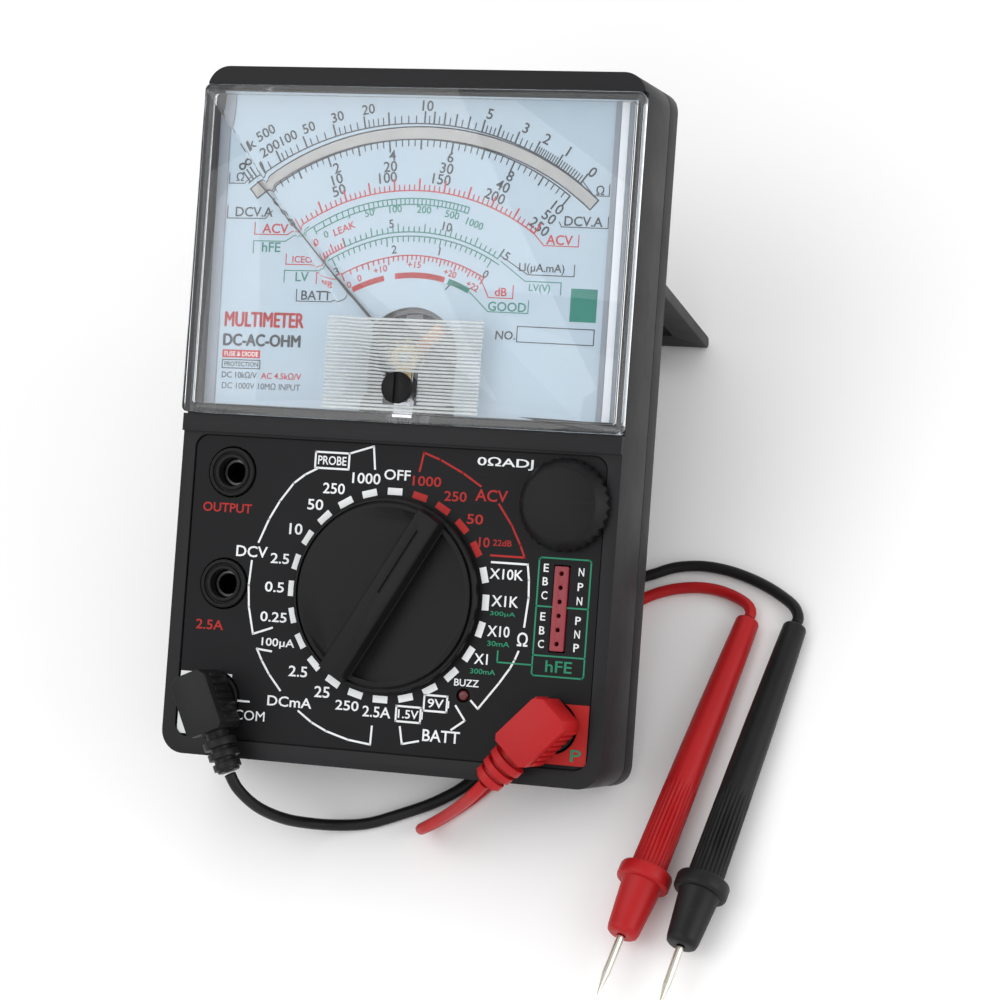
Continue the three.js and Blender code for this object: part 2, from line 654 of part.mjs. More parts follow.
meter.add(
  named("front_case", frontCase(), BLACK_PLASTIC),
  named("rear_cover", rearCover(), BLACK_PLASTIC),
  named("window_cover", windowCover(), CLEAR),
  named("panel_plate", panelPlate(), LABEL_BLACK),
  named("dial_plate", dialPlate(), DIAL_WHITE),
  named("mirror_strip", mirrorStrip(), MIRROR),
  named("zero_adjust_screw", zeroScrew(), KNOB_BLACK, { position: [0, ZERO_Y, 0] }),
  named("selector_knob", selectorKnob(), KNOB_BLACK, { angle: KNOB_ANGLE }),
  named("switch_rotor", switchRotor(), DIAL_WHITE, { angle: KNOB_ANGLE }),
  named("wiper_contact", wiperContact(), BRASS, { angle: KNOB_ANGLE }),
  named("detent_spring", detentSpring(), STEEL),
  named("ohm_adjust_knob", ohmKnob(), KNOB_BLACK, { position: [...OHM_KNOB, 0] }),
  named("ohm_adjust_pot", ohmPot(), STEEL, { position: [...OHM_KNOB, 0] }),
  named("hfe_socket", hfeSocket(), RED_PLASTIC, { position: [...HFE_SOCKET, 0] }),
  named("continuity_led", continuityLed(), RED_PLASTIC, { position: [...LED, 0] }),
  named("main_board", mainBoard(), BOARD),
  named("buzzer", buzzer(), BLACK_PLASTIC, { position: [20, -16, 0] }),
  named("fuse", fuse(), STEEL, { position: [-14, -24, -12.8] }),
  named("pen_cell_upper", penCell(), RED_PLASTIC, { position: [-46, 98, -14.2] }),
  named("pen_cell_lower", penCell(), RED_PLASTIC, { position: [-46, 82.5, -14.2] }),
  named("block_battery", blockBattery(), LABEL_BLACK, { position: [28, 54, -13.4] }),
  named("battery_snap", batterySnap(), BLACK_PLASTIC, { position: [28, 54, -13.4] }),
  named("stand_hinge_pin", crossRod(-43, 43, hingeY, hingeZ, PIN_RADIUS), STEEL),
);

for (const [name, place] of Object.entries(JACKS)) {
  meter.add(
    named(`jack_bushing_${name}`, jackBushing(), BLACK_PLASTIC, { position: [...place, 0] }),
    named(`jack_contact_${name}`, jackContact(), STEEL, { position: [...place, 0] }),
  );
}
caseScrews.forEach(([x, y], i) => {
  meter.add(named(`case_screw_${i + 1}`, caseScrew(), STEEL, { position: [x, y, BACK_Z] }));
});
for (const [name, side] of [["left", -1], ["right", 1]]) {
  meter.add(named(`foot_${name}`, foot(), RUBBER, { position: [side * 37, FOOT_Y, BACK_Z - GAP] }));
}

movementFrame.add(
  named("magnet_yoke", magnetYoke(), STEEL),
  named("movement_core", movementCore(), STEEL),
  named("moving_coil", movingCoil(), COPPER, { angle: NEEDLE_REST }),
  named("pivot_staff", rod(0, 0, -17.3, -2.6, 0.5, 0.5, 12), STEEL),
  named("pointer", pointer(), LABEL_BLACK, { angle: NEEDLE_REST }),
  named("hairspring", hairspring(), BRASS),
  named("movement_bridge", movementBridge(), BRASS),
  named("zero_corrector", zeroCorrector(), BRASS),
);
meter.add(movementFrame);

const standMesh = named("stand", stand(), BLACK_PLASTIC, { position: [0, hingeY, hingeZ] });
standMesh.rotation.x = standAngle();
meter.add(standMesh);

// Each lead: where its plug sits, which way the plug's tail points on the panel, the cord's route
// from the plug to its coil and from the coil to the probe, and where the probe lies.
const LEADS = {
  black: {
    jack: JACKS.common,
    tailAngle: THREE.MathUtils.degToRad(-65.5),
    look: LEAD_BLACK,
    front: [
      [-30.6, -76.4, 27.4], [-29.4, -78.2, 25.4], [-26.6, -79.6, 19.6], [-23, -78.8, 12.4], [-19.4, -76.8, 6.4],
      [-14.6, -75, 2.6], [-8.3, -73.4, 1.3], [-1.3, -70.5, 1.25], [6.6, -66.4, 1.25], [12.6, -61.4, 1.25],
      [16, -54.8, 1.25], [13.4, -47.6, 1.25], [6.8, -42.4, 1.25], [1.6, -36.8, 1.25], [-0.5, -30.5, 1.25],
      [-0.7, -27, 1.25],
    ],
    coil: [-19.5, -25.5],
    back: [
      [-0.8, -23.6, 3.75], [-0.9, -18.5, 3.2], [1.2, -11.5, 1.9], [7.4, -6.6, 1.3], [15.5, -5.2, 1.25],
      [25, -5.6, 1.25], [33, -7.8, 1.25], [38, -8.8, 1.25], [42.6, -7.4, 1.25], [47.6, -5.2, 1.25],
      [53.6, -4.3, 1.25], [60, -5, 1.25], [66.9, -7.2, 1.25], [72.6, -10.2, 1.5], [76.6, -13.4, 2.1],
      [77.95, -16.1, 2.5], [77.78, -17.6, 2.6],
    ],
    probe: [[77.7, -18.2], [69.7, -82.3]],
  },
  red: {
    jack: JACKS.positive,
    tailAngle: THREE.MathUtils.degToRad(-133.5),
    look: LEAD_RED,
    front: [
      [26.4, -73.75, 28.8], [24.4, -75, 27], [20.4, -75.7, 22.2], [15.8, -75.9, 16.8], [11.2, -76.1, 12],
      [7.8, -76, 8.4], [5.9, -75, 5], [6.5, -72.8, 2.2], [9.6, -69.6, 1.25], [14.6, -64.8, 1.25],
      [20.8, -57, 1.25], [25.6, -50.4, 1.25], [31, -43.4, 1.25], [35.4, -36.6, 1.25], [37.9, -30, 1.25],
      [38.3, -27, 1.25],
    ],
    coil: [19.5, -25.5],
    back: [
      [38.3, -23.8, 3.75], [38.4, -19.6, 2.6], [40, -15.6, 1.5], [43.6, -12.6, 1.25], [48.4, -10.6, 1.25],
      [54.2, -9.7, 1.25], [58.8, -10.1, 1.25], [63.4, -11.8, 1.6], [66.6, -14.2, 2.4],
      [67.35, -16, 2.55], [67.17, -17, 2.6],
    ],
    probe: [[67.1, -17.6], [57.1, -82.1]],
  },
};

const object = new THREE.Group();
meter.rotation.x = TILT;

// The lowest line of the feet is on the table, and the instrument is centred over the origin.
const footZ = BACK_Z - GAP;
meter.position.z = FOOT_RADIUS - FOOT_Y * Math.sin(TILT) - footZ * Math.cos(TILT);
object.add(meter);
meter.updateMatrixWorld(true);
const span = new THREE.Box3().setFromObject(meter, true);
meter.position.y = -(span.min.y + span.max.y) / 2;

for (const [colour, lead] of Object.entries(LEADS)) {
  const plug = { position: [...lead.jack, 0], angle: lead.tailAngle };
  meter.add(
    named(`${colour}_plug_boot`, plugBoot(), lead.look, plug),
    named(`${colour}_banana_pin`, bananaPin(), BRASS, plug),
  );
  object.add(
    named(`${colour}_lead_front`, cordTube(lead.front), lead.look),
    named(`${colour}_lead_coil`, coilSolid(), lead.look, { position: [...lead.coil, 0] }),
    named(`${colour}_lead_back`, cordTube(lead.back), lead.look),
  );
  const probe = probeFrame(...lead.probe);
  probe.add(
    named(`${colour}_probe_handle`, probeHandle(), lead.look),
    named(`${colour}_probe_needle`, probeNeedle(), STEEL),
  );
  object.add(probe);
}

export default object;
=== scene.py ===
"""Looks of an analog multimeter on its tilt stand, with two coiled test leads."""

import math

import bpy
from mathutils import Matrix, Vector


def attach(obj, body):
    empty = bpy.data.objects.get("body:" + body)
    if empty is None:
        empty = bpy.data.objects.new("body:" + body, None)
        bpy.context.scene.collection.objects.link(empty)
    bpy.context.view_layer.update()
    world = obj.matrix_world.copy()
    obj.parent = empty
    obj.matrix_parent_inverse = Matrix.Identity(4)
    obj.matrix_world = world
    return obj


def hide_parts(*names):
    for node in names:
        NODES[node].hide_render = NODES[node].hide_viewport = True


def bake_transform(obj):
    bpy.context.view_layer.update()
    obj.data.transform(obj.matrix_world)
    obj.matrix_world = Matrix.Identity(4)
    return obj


bl_info = {
    "name": "Analog multimeter",
    "version": (1, 0, 0),
    "blender": (4, 5, 0),
    "location": "View3D > Sidebar > Multimeter",
    "description": "Builds the finished pieces of an analog multimeter around its fixed frame",
    "category": "Object",
}

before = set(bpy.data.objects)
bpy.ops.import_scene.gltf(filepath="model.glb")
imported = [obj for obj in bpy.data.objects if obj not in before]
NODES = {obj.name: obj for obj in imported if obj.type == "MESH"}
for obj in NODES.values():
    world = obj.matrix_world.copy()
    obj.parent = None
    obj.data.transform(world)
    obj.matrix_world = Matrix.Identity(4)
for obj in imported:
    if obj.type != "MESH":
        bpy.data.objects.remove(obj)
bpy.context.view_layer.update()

# ------------------------------------------------------------------ the instrument's own frame
MM = 0.001
TILT = math.radians(28)
PANEL = Matrix.Translation((0, -0.03833567, 0.04132554)) @ Matrix.Rotation(TILT, 4, "X")
TABLE = Matrix.Identity(4)
BODY = "instrument"

PANEL_TOP = 0.0
DIAL_TOP = -3.9
COVER_INNER = 1.1
INK = 0.03

ARC_CENTRE = (-0.9, 39.5)
JACKS = {
    "output": (-37.6, 24), "high_current": (-37.7, 0), "common": (-37.7, -24.5), "positive": (38.2, -24.7),
}
RIBS = {"count": 26, "first": 39.1, "last": 58.2, "half": 17.5, "radius": 0.3, "drop": 0.38}
ZERO_SCREW = {"y": 43.7, "clear_x": 3.9, "clear_y": 3.7}
# Radii of the dial's scales, from the outermost.
OHM, DCV, ACV, HFE, HFE_LOW, LI, LV, DB, BATTERY = 60.7, 57.3, 46.3, 44.6, 43.3, 37.4, 36.5, 32.4, 28.3
# The ohm scale's endless mark and sweep in degrees, and the ohms that lie half way.
OHM_FIRST, OHM_SWEEP, OHM_MIDDLE = -39.2, 75.4, 11
# Stretches of the ohm scale: start, step, how many, and every how many a long mark; then single marks.
OHM_STEPS = (
    (0, 0.1, 20, 10), (2, 0.25, 12, 4), (5, 0.5, 10, 2), (10, 1, 10, 5), (20, 2, 5, 5), (30, 5, 4, 4),
    (50, 10, 5, 5),
)
OHM_ENDS = [(0, True), (150, False), (200, True), (300, False), (500, True), (1000, True), (1e6, True)]
LEADER = 0.2
BATTERY_BANDS = {"red": ((-25.6, -13.6), (-6.4, 13.4)), "green": (17.6, 25.6), "width": 1.15}
# Solid blocks: both ends of the middle line, and the width.
FUSE_BAR = (-43.3, 49.6, -34.8, 49.6, 1.7)
GREEN_BLOCK = (37.4, 59.3, 37.4, 66.3, 5.8)
STRIP = {"y": 72.3, "length": 67.2, "rise": 0.2, "height": 0.35}
# Painted shade and highlight strips on the dial's sides: name, finish, and where each begins and ends across
# the dial.
DIAL_STRIPS = (
    ("dial_surround", "painted_wall_shade", ((-46.7, -44.4), (41.8, 43), (44.9, 46))),
    ("dial_bright_edge", "painted_wall_highlight", ((43.1, 44.8), (46.1, 46.7))),
)

CORD_RADIUS = 1.25
COIL = {"inner": 11.3, "pitch": 2.5, "turns": 3, "low": 1.25, "high": 3.75}
TIE = {"out": 15.2, "size": (3, 9.6, 5.6), "hollow": (8, 8.9, 5)}
# A lead's jack, the way its boot's tail points in degrees, how much the boot is narrowed, its cord's route
# in two parts with a coil between them, and its probe from the cord's end to its tip.
LEADS = {
    "black": {
        "jack": JACKS["common"],
        "tail": -65.5,
        "narrowed": 0.87,
        "front": [
            (-30.6, -76.4, 27.4), (-29.4, -78.2, 25.4), (-26.6, -79.6, 19.6), (-23, -78.8, 12.4),
            (-19.4, -76.8, 6.4), (-14.6, -75, 2.6), (-8.3, -73.4, 1.3), (-1.3, -70.5, 1.25),
            (6.6, -66.4, 1.25), (12.6, -61.4, 1.25), (16, -54.8, 1.25), (13.4, -47.6, 1.25),
            (6.8, -42.4, 1.25), (1.6, -36.8, 1.25), (-0.5, -30.5, 1.25), (-0.7, -27, 1.25),
        ],
        "coil": (-19.5, -25.5),
        "back": [
            (-0.8, -23.6, 3.75), (-0.9, -18.5, 3.2), (1.2, -11.5, 1.9), (7.4, -6.6, 1.3),
            (15.5, -5.2, 1.25), (25, -5.6, 1.25), (33, -7.8, 1.25), (38, -8.8, 1.25),
            (42.6, -7.4, 1.25), (47.6, -5.2, 1.25), (53.6, -4.3, 1.25), (60, -5, 1.25),
            (66.9, -7.2, 1.25), (72.6, -10.2, 1.5), (76.6, -13.4, 2.1), (77.95, -16.1, 2.5),
            (77.78, -17.6, 2.6),
        ],
        "probe": ((77.7, -18.2), (69.7, -82.3)),
    },
    "red": {
        "jack": JACKS["positive"],
        "tail": -133.5,
        "narrowed": 0.96,
        "front": [
            (26.4, -73.75, 28.8), (24.4, -75, 27), (20.4, -75.7, 22.2), (15.8, -75.9, 16.8),
            (11.2, -76.1, 12), (7.8, -76, 8.4), (5.9, -75, 5), (6.5, -72.8, 2.2), (9.6, -69.6, 1.25),
            (14.6, -64.8, 1.25), (20.8, -57, 1.25), (25.6, -50.4, 1.25), (31, -43.4, 1.25),
            (35.4, -36.6, 1.25), (37.9, -30, 1.25), (38.3, -27, 1.25),
        ],
        "coil": (19.5, -25.5),
        "back": [
            (38.3, -23.8, 3.75), (38.4, -19.6, 2.6), (40, -15.6, 1.5), (43.6, -12.6, 1.25),
            (48.4, -10.6, 1.25), (54.2, -9.7, 1.25), (58.8, -10.1, 1.25), (63.4, -11.8, 1.6),
            (66.6, -14.2, 2.4), (67.35, -16, 2.55), (67.17, -17, 2.6),
        ],
        "probe": ((67.1, -17.6), (57.1, -82.1)),
    },
}
BOOT = {"half_width": 4.8, "ribs": 7, "first": -3.6, "pitch": 1.55}
PROBE = {"top": 2.6, "collar": 5.75, "body": 62.7, "collar_end": 66.3}
# Height along the handle and radius there.
HANDLE_PROFILE = [
    (0.0, 0.9), (0.0, 2.0), (0.25, 2.4), (0.7, 2.62), (10, 2.9), (24, 3.25), (38, 3.5), (42, 3.55),
    (44, 3.6), (50, 3.68), (56, 3.76), (61.6, 3.84), (62.3, 3.86), (62.7, 4.3), (62.75, 5.1), (62.95, 5.5),
    (63.4, 5.72), (65.6, 5.72), (66.0, 5.55), (66.25, 5.1), (66.3, 4.5), (66.6, 4.3), (76.8, 3.45),
    (77.8, 3.2), (78.2, 2.7), (78.3, 2.0), (78.3, 1.0), (77.3, 0.95),
]
HANDLE_SIDES = 72
FLUTES = {"from": 43.5, "to": 61.9, "every": 3, "depth": 0.91}


def box(x0, y0, x1, y1):
    return [(x0, y1), (x1, y1), (x1, y0), (x0, y0), (x0, y1)]


def bracket(x0, y0, y1, x1, x2, y2):
    """A word's leader: down or up its side, along it, and off to its scale."""
    return [(x0, y0), (x0, y1), (x1, y1), (x2, y2)]


# ------------------------------------------------------------------ printed matter
# Each row: words, x, y, width, height in panel millimetres.
PANEL_WHITE = [
    ("OFF", 0.26, 25.47, 5.93, 2.21), ("1000", -6.69, 24.34, 6.41, 2.3), ("250", -13.91, 21.8, 5, 2.3),
    ("50", -17.88, 18.15, 3.6, 2.3), ("10", -21.94, 12.68, 3, 2.4), ("2.5", -25.13, 6.17, 4.3, 2.2),
    ("0.5", -25.91, 0.02, 4.4, 2.2), ("0.25", -25.63, -6.38, 6.09, 2.14), ("100µA", -24.15, -11.93, 7.6, 2.1),
    ("2.5", -19.08, -17.52, 4.3, 2.3), ("25", -13.26, -21.43, 3.5, 2.4), ("250", -7.36, -23.83, 5.3, 2.1),
    ("2.5A", -0.59, -24.66, 6.37, 2.3), ("X10K", 26.09, 6.14, 7.4, 2.2), ("X1K", 26.18, 0.51, 5.9, 2.3),
    ("X10", 25.23, -5.81, 4.9, 2.3), ("X1", 21.81, -11.8, 3, 2.2), ("BUZZ", 19, -17.03, 5.45, 1.5),
    ("DCV", -31.72, 7.24, 7.27, 2.4), ("DCmA", -20.52, -24.13, 10.2, 2.2), ("BATT", 14.21, -28.6, 8.29, 2.5),
    ("Ω", 30.61, -7.09, 2.3, 2.9), ("PROBE", -14.75, 27.7, 6.5, 1.9), ("0ΩADJ", 24.12, 29.21, 12.4, 2.4),
    ("COM", -29.5, -27.73, 7, 2.1), ("9V", 12.5, -21.85, 3.6, 1.9), ("1.5V", 6.55, -24.6, 4.6, 1.8),
]
PANEL_WHITE += [("EBC"[i % 3], 34.7, y, (1.1, 1.2, 1.3)[i % 3], 1.7)
                for i, y in enumerate((8.1, 5.3, 2.4, -2, -4.9, -7.7))]
PANEL_WHITE += [(word, 42.4, y, 1.2, 1.7) for word, y in zip("NPNPNP", (7.7, 4.6, 1.7, -2.4, -5.2, -8))]
PANEL_RED = [
    ("1000", 7, 24.5, 6.4, 2.1), ("250", 13.6, 21.7, 5, 2.1), ("50", 18.3, 17.2, 3.6, 2.1),
    ("10", 20.7, 12.5, 2.4, 2.1), ("22dB", 24.7, 12.6, 4.1, 1.3), ("ACV", 21.6, 22.3, 7.2, 2.5),
    ("OUTPUT", -38.17, 16.3, 11.4, 2), ("2.5A", -40.3, -9, 6.4, 2.1),
]
PANEL_GREEN = [
    ("300µA", 25.9, -2.2, 5.6, 1.1), ("30mA", 25.4, -8.4, 4.9, 1.1), ("300mA", 22.4, -14.4, 5.6, 1.1),
    ("hFE", 38.9, -12.2, 5.8, 2.4), ("P", 43.9, -30.2, 2.3, 2.5),
]
WHITE_LINES = [
    box(-18.6, 26, -10.9, 29.4),
    [(-10.9, 29.4), (-5.5, 31.2), (-4.9, 26.5)],
    [(-17.9, 25.9), (-20.7, 24.4), (-23.2, 22.4), (-26.1, 18.4), (-28.3, 14.4), (-30.3, 9.4)],
    [(-31.6, 5.2), (-31.9, 0), (-31.5, -4.6), (-30.1, -10.3), (-25.8, -8.7)],
    [(22.7, 8.5), (30.6, 8.5), (31.1, 5.3), (31.3, 1.6), (30.8, -4.4)],
    [(29.9, -9.7), (29.2, -11.5), (28.3, -13.3), (26.1, -16.6), (21.9, -22.2), (20.3, -20.7)],
    [(-25.6, -13.7), (-28.9, -13.4), (-27.6, -15.8), (-25.7, -18.6), (-22.9, -21.8)],
    [(-18.3, -25.9), (-15.2, -28), (-11.7, -29.6), (-6.6, -31), (-1.5, -31.6), (-1.4, -27.8)],
    [(4.9, -27.4), (5.6, -30.9), (9.2, -30)],
    [(17, -22), (19.2, -24.9), (16.4, -27)],
    box(9.9, -23.5, 15, -20.2),
    [(15.3, -21.3), (15.3, -22.4)],
    box(3.8, -26.2, 9.3, -23),
    [(9.6, -24), (9.6, -25.2)],
    [(-32.4, -24.8), (-29.9, -24.8)],
]
RED_LINES = [
    [(5.2, 26.6), (5.9, 30.5), (9.7, 29.2), (14.9, 26.7), (19, 24.2)],
    [(23.4, 20.6), (26.5, 16.4), (28.7, 12.4), (29.8, 9.9), (22.4, 9.9)],
]
GREEN_LINES = [
    [(33.5, 10.2), (44, 10.2), (44.4, 9.8), (44.4, -13.9), (44, -14.3), (33.5, -14.3), (33.1, -13.9),
     (33.1, 9.8), (33.5, 10.2)],
    [(33.1, 0.1), (44.4, 0.1)], [(33.1, -10.1), (44.4, -10.1)], [(25.4, -9.9), (25.4, -12.2), (33, -12.2)],
]
# Printed squares under two jacks, by colour: x, y, width, height, jack.
CORNERS = {"white": (-40.2, -26, 12, 13.4, "common"), "red": (40.15, -26, 12.1, 12.6, "positive")}
JACK_HOLE = 5.7
SELECTOR_MARK = {"radius": 21.95, "length": 3.3, "width": 1.5, "count": 24, "red": (1, 2, 3, 4)}

# Dial words with x and y, by their height; those along an arc turn with it.
DIAL_ARC_BLACK = {
    1.6: [("∞", -40.6, 90.6)],
    2.2: [("1k", -40.4, 94.9), ("500", -37, 97.5), ("200", -35.7, 94.2), ("100", -31.6, 96.6),
        ("50", -27.1, 98.9), ("30", -20.6, 101.4), ("20", -13.6, 103.2)],
    2.3: [("10", -0.1, 104.3), ("5", 14, 102.9), ("3", 22.2, 100.1), ("2", 27, 97.9), ("1", 31.9, 95.4),
        ("0", 37.5, 91.2), ("2", -20, 90.3), ("10", -19.7, 87.9), ("50", -19.1, 85.5), ("4", -7.4, 93.4),
        ("20", -7.7, 91), ("100", -8.1, 88.6), ("6", 5.8, 93.4), ("30", 5.1, 91), ("150", 4.1, 88.6),
        ("8", 19.4, 89.8), ("40", 17.9, 87.6), ("200", 16.3, 85.4), ("10", 30.3, 83.4),
        ("50", 28.6, 81.4), ("250", 26.6, 79.3)],
    2: [("0", -33.2, 82.7), ("0", -31.4, 80.9), ("0", -29.6, 79.1)],
    1.8: [("5", -6.6, 78.7)],
    1.9: [("10", 6.1, 78.5), ("15", 19.4, 73)],
    1.7: [("3", -17.6, 68.8), ("2", -5.5, 73.3), ("1", 4.7, 73.2), ("0", 15.4, 68.8)],
    1.5: [("7", 7.1, 65.7)],
}
DIAL_ARC_RED = {
    1.5: [("LEAK", -17, 77.6), ("0", -22.9, 74.8)],
    1.4: [("10", -14.8, 65.9), ("0", -12.4, 67.4), ("+10", -8, 69.2), ("+15", -0.7, 70.2),
        ("+20", 7.4, 68.6), ("+22", 12.6, 66.1)],
}
DIAL_ARC_GREEN = {
    1.6: [("50", -11.8, 80.9), ("100", -5.9, 81.9), ("200", 0.6, 82), ("500", 7, 81.1),
        ("1000", 12.2, 79.4)],
    1.5: [("0", -20.9, 76.4)],
}
# Side words with their leader lines; x, y is the word's centre.
DIAL_SIDE_BLACK = {
    1.9: [("Ω", -41.6, 87.6)],
    2.1: [("DCV.A", -38, 80.1), ("DCV.A", 36.2, 80.5)],
    2: [("Ω", 39.4, 87.2), ("BATT", -23, 62.5)],
    1.8: [("NO.", 20.7, 55.8)],
    2.3: [("LI(µA.mA)", 27.7, 70.1)],
}
DIAL_SIDE_RED = {
    2.1: [("ACV", -33, 76.6), ("ACV", 31.2, 76.4)],
    1.45: [("ICEO", -26.6, 70.1)],
    1.7: [("dB", -20.7, 65.9)],
    1.8: [("dB", 19, 64.9)],
}
DIAL_SIDE_GREEN = {
    2.1: [("hFE", -33.7, 72.6)],
    2: [("LV", -26.4, 66.4), ("LV(V)", 27.5, 65.9), ("GOOD", 20.6, 61.8)],
}
DIAL_SPEC = [("FUSE & DIODE", -39, 49.6, 7.6, 1, "white"), ("PROTECTION", -38.9, 47.4, 7.6, 1, "grey"),
             ("DC 10kΩ/V", -39.2, 45.1, 7.9, 1.4, "grey"), ("AC 4.5kΩ/V", -29.8, 45.1, 9, 1.4, "red"),
             ("DC 1000V 10MΩ INPUT", -34.2, 42.8, 17.6, 1.4, "grey")]
# The two large words are printed four times over, a little apart, which makes them bold.
DIAL_TITLE = [("MULTIMETER", -34.3, 57, 17.6, 3.1, "red"), ("DC-AC-OHM", -34.6, 52.6, 17.2, 2.5, "grey")]
DIAL_SPEC += [(w, x + dx, y + dy, wide, h, tone) for w, x, y, wide, h, tone in DIAL_TITLE
              for dx, dy in ((-0.14, 0), (0.14, 0), (0, 0.1), (0, -0.1))]
BLACK_LEADERS = [
    bracket(-44, 88.4, 86.2, -40.6, -38.9, 87.9),
    bracket(-44, 81.3, 78.7, -35.4, -33.9, 80.4),
    bracket(-27.4, 63.7, 61.2, -19.6, -14.8, 64.5),
    bracket(41.4, 88.4, 86, 38, 35.5, 88.9),
    bracket(41.6, 81.6, 79.2, 31.4, 30.9, 80.2),
    bracket(34.9, 71.2, 68.8, 24.7, 18.4, 72.6),
    box(-43.2, 46.5, -34.7, 48.3),
    box(23.2, 54.5, 40.1, 57.8),
]
RED_LEADERS = [
    bracket(-37.6, 77.9, 75.3, -30.2, -27.3, 77.6),
    bracket(35.4, 77.6, 75.1, 27.8, 24.9, 78.2),
    bracket(-30.2, 71.2, 69, -23.6, -20.9, 71.3),
    bracket(-23.2, 65, 67.5, -18.2, -16.6, 68.1),
    bracket(21.7, 66.4, 63.6, 16.3, 14.3, 67.5),
]
GREEN_LEADERS = [
    bracket(-37.7, 71.3, 73.9, -30.6, -24.9, 77.7),
    bracket(-30.4, 65.2, 67.7, -23.6, -19.8, 71.6),
    bracket(32.2, 64.8, 67.4, 24.2, 18.6, 71.4),
    bracket(25.3, 63.3, 60.6, 16.4, 12, 64.6),
]


# ------------------------------------------------------------------ materials
def shader_group(name, inputs, outputs):
    """A node group with float inputs {name: default} and outputs, and its two end nodes."""
    tree = bpy.data.node_groups.new(name, "ShaderNodeTree")
    for label, default in inputs.items():
        socket = tree.interface.new_socket(name=label, in_out="INPUT", socket_type="NodeSocketFloat")
        socket.default_value = default
    for label in outputs:
        tree.interface.new_socket(name=label, in_out="OUTPUT", socket_type="NodeSocketFloat")
    return tree, tree.nodes.new("NodeGroupInput"), tree.nodes.new("NodeGroupOutput")


def noise(tree, scale, detail=3.0, roughness=0.5, coordinates=None):
    node = tree.nodes.new("ShaderNodeTexNoise")
    node.inputs["Detail"].default_value = detail
    node.inputs["Roughness"].default_value = roughness
    if isinstance(scale, (int, float)):
        node.inputs["Scale"].default_value = scale
    else:
        tree.links.new(scale, node.inputs["Scale"])
    coordinates = coordinates or tree.nodes.new("ShaderNodeTexCoord").outputs["Object"]
    tree.links.new(coordinates, node.inputs["Vector"])
    return node.outputs["Fac"]


def spread(tree, value, low, high, to_low=0.0, to_high=1.0):
    node = tree.nodes.new("ShaderNodeMapRange")
    for label, number in (("From Min", low), ("From Max", high), ("To Min", to_low), ("To Max", to_high)):
        if isinstance(number, (int, float)):
            node.inputs[label].default_value = number
        else:
            tree.links.new(number, node.inputs[label])
    tree.links.new(value, node.inputs["Value"])
    return node.outputs["Result"]


def blend_colours(tree, mask, first, second):
    node = tree.nodes.new("ShaderNodeMix")
    node.data_type = "RGBA"
    tree.links.new(mask, node.inputs["Factor"])
    for socket, colour in ((node.inputs[6], first), (node.inputs[7], second)):
        if isinstance(colour, tuple):
            socket.default_value = (*colour, 1)
        else:
            tree.links.new(colour, socket)
    return node.outputs[2]


def moulded_surface():
    """Fine grain of moulded plastic, with cloudy tone and faint handling marks."""
    tree, start, end = shader_group("Moulded surface", {"Grain scale": 2500.0, "Cloud scale": 60.0},
                                    ("Grain", "Cloud", "Marks"))
    links = tree.links
    links.new(noise(tree, start.outputs["Grain scale"], 2.0, 0.6), end.inputs["Grain"])
    links.new(noise(tree, start.outputs["Cloud scale"], 4.0, 0.6), end.inputs["Cloud"])
    place = tree.nodes.new("ShaderNodeTexCoord")
    stretch = tree.nodes.new("ShaderNodeMapping")
    stretch.inputs["Scale"].default_value = (1.0, 9.0, 9.0)
    stretch.inputs["Rotation"].default_value = (0.4, 0.3, 0.6)
    links.new(place.outputs["Object"], stretch.inputs["Vector"])
    marks = noise(tree, 70.0, 5.0, 0.75, stretch.outputs["Vector"])
    links.new(spread(tree, marks, 0.62, 0.72), end.inputs["Marks"])
    return tree


def metal_grain():
    """Brushed or drawn metal: long fine lines and soft tarnish."""
    tree, start, end = shader_group("Metal grain", {"Line scale": 1200.0}, ("Lines", "Tarnish"))
    place = tree.nodes.new("ShaderNodeTexCoord")
    stretch = tree.nodes.new("ShaderNodeMapping")
    stretch.inputs["Scale"].default_value = (1.0, 0.05, 1.0)
    tree.links.new(place.outputs["Object"], stretch.inputs["Vector"])
    tree.links.new(noise(tree, start.outputs["Line scale"], 2.0, 0.5, stretch.outputs["Vector"]),
                   end.inputs["Lines"])
    tree.links.new(noise(tree, 180.0, 4.0, 0.6), end.inputs["Tarnish"])
    return tree


def use_group(tree, group, **values):
    node = tree.nodes.new("ShaderNodeGroup")
    node.node_tree = bpy.data.node_groups[group]
    for label, value in values.items():
        node.inputs[label.replace("_", " ")].default_value = value
    return node.outputs


def new_material(name, colour):
    material = bpy.data.materials.new(name)
    material.use_nodes = True
    material.diffuse_color = (*colour, 1)
    return material, material.node_tree, material.node_tree.nodes["Principled BSDF"]


def bump(tree, shader, height, strength, distance):
    node = tree.nodes.new("ShaderNodeBump")
    node.inputs["Strength"].default_value = strength
    node.inputs["Distance"].default_value = distance
    tree.links.new(height, node.inputs["Height"])
    tree.links.new(node.outputs["Normal"], shader.inputs["Normal"])


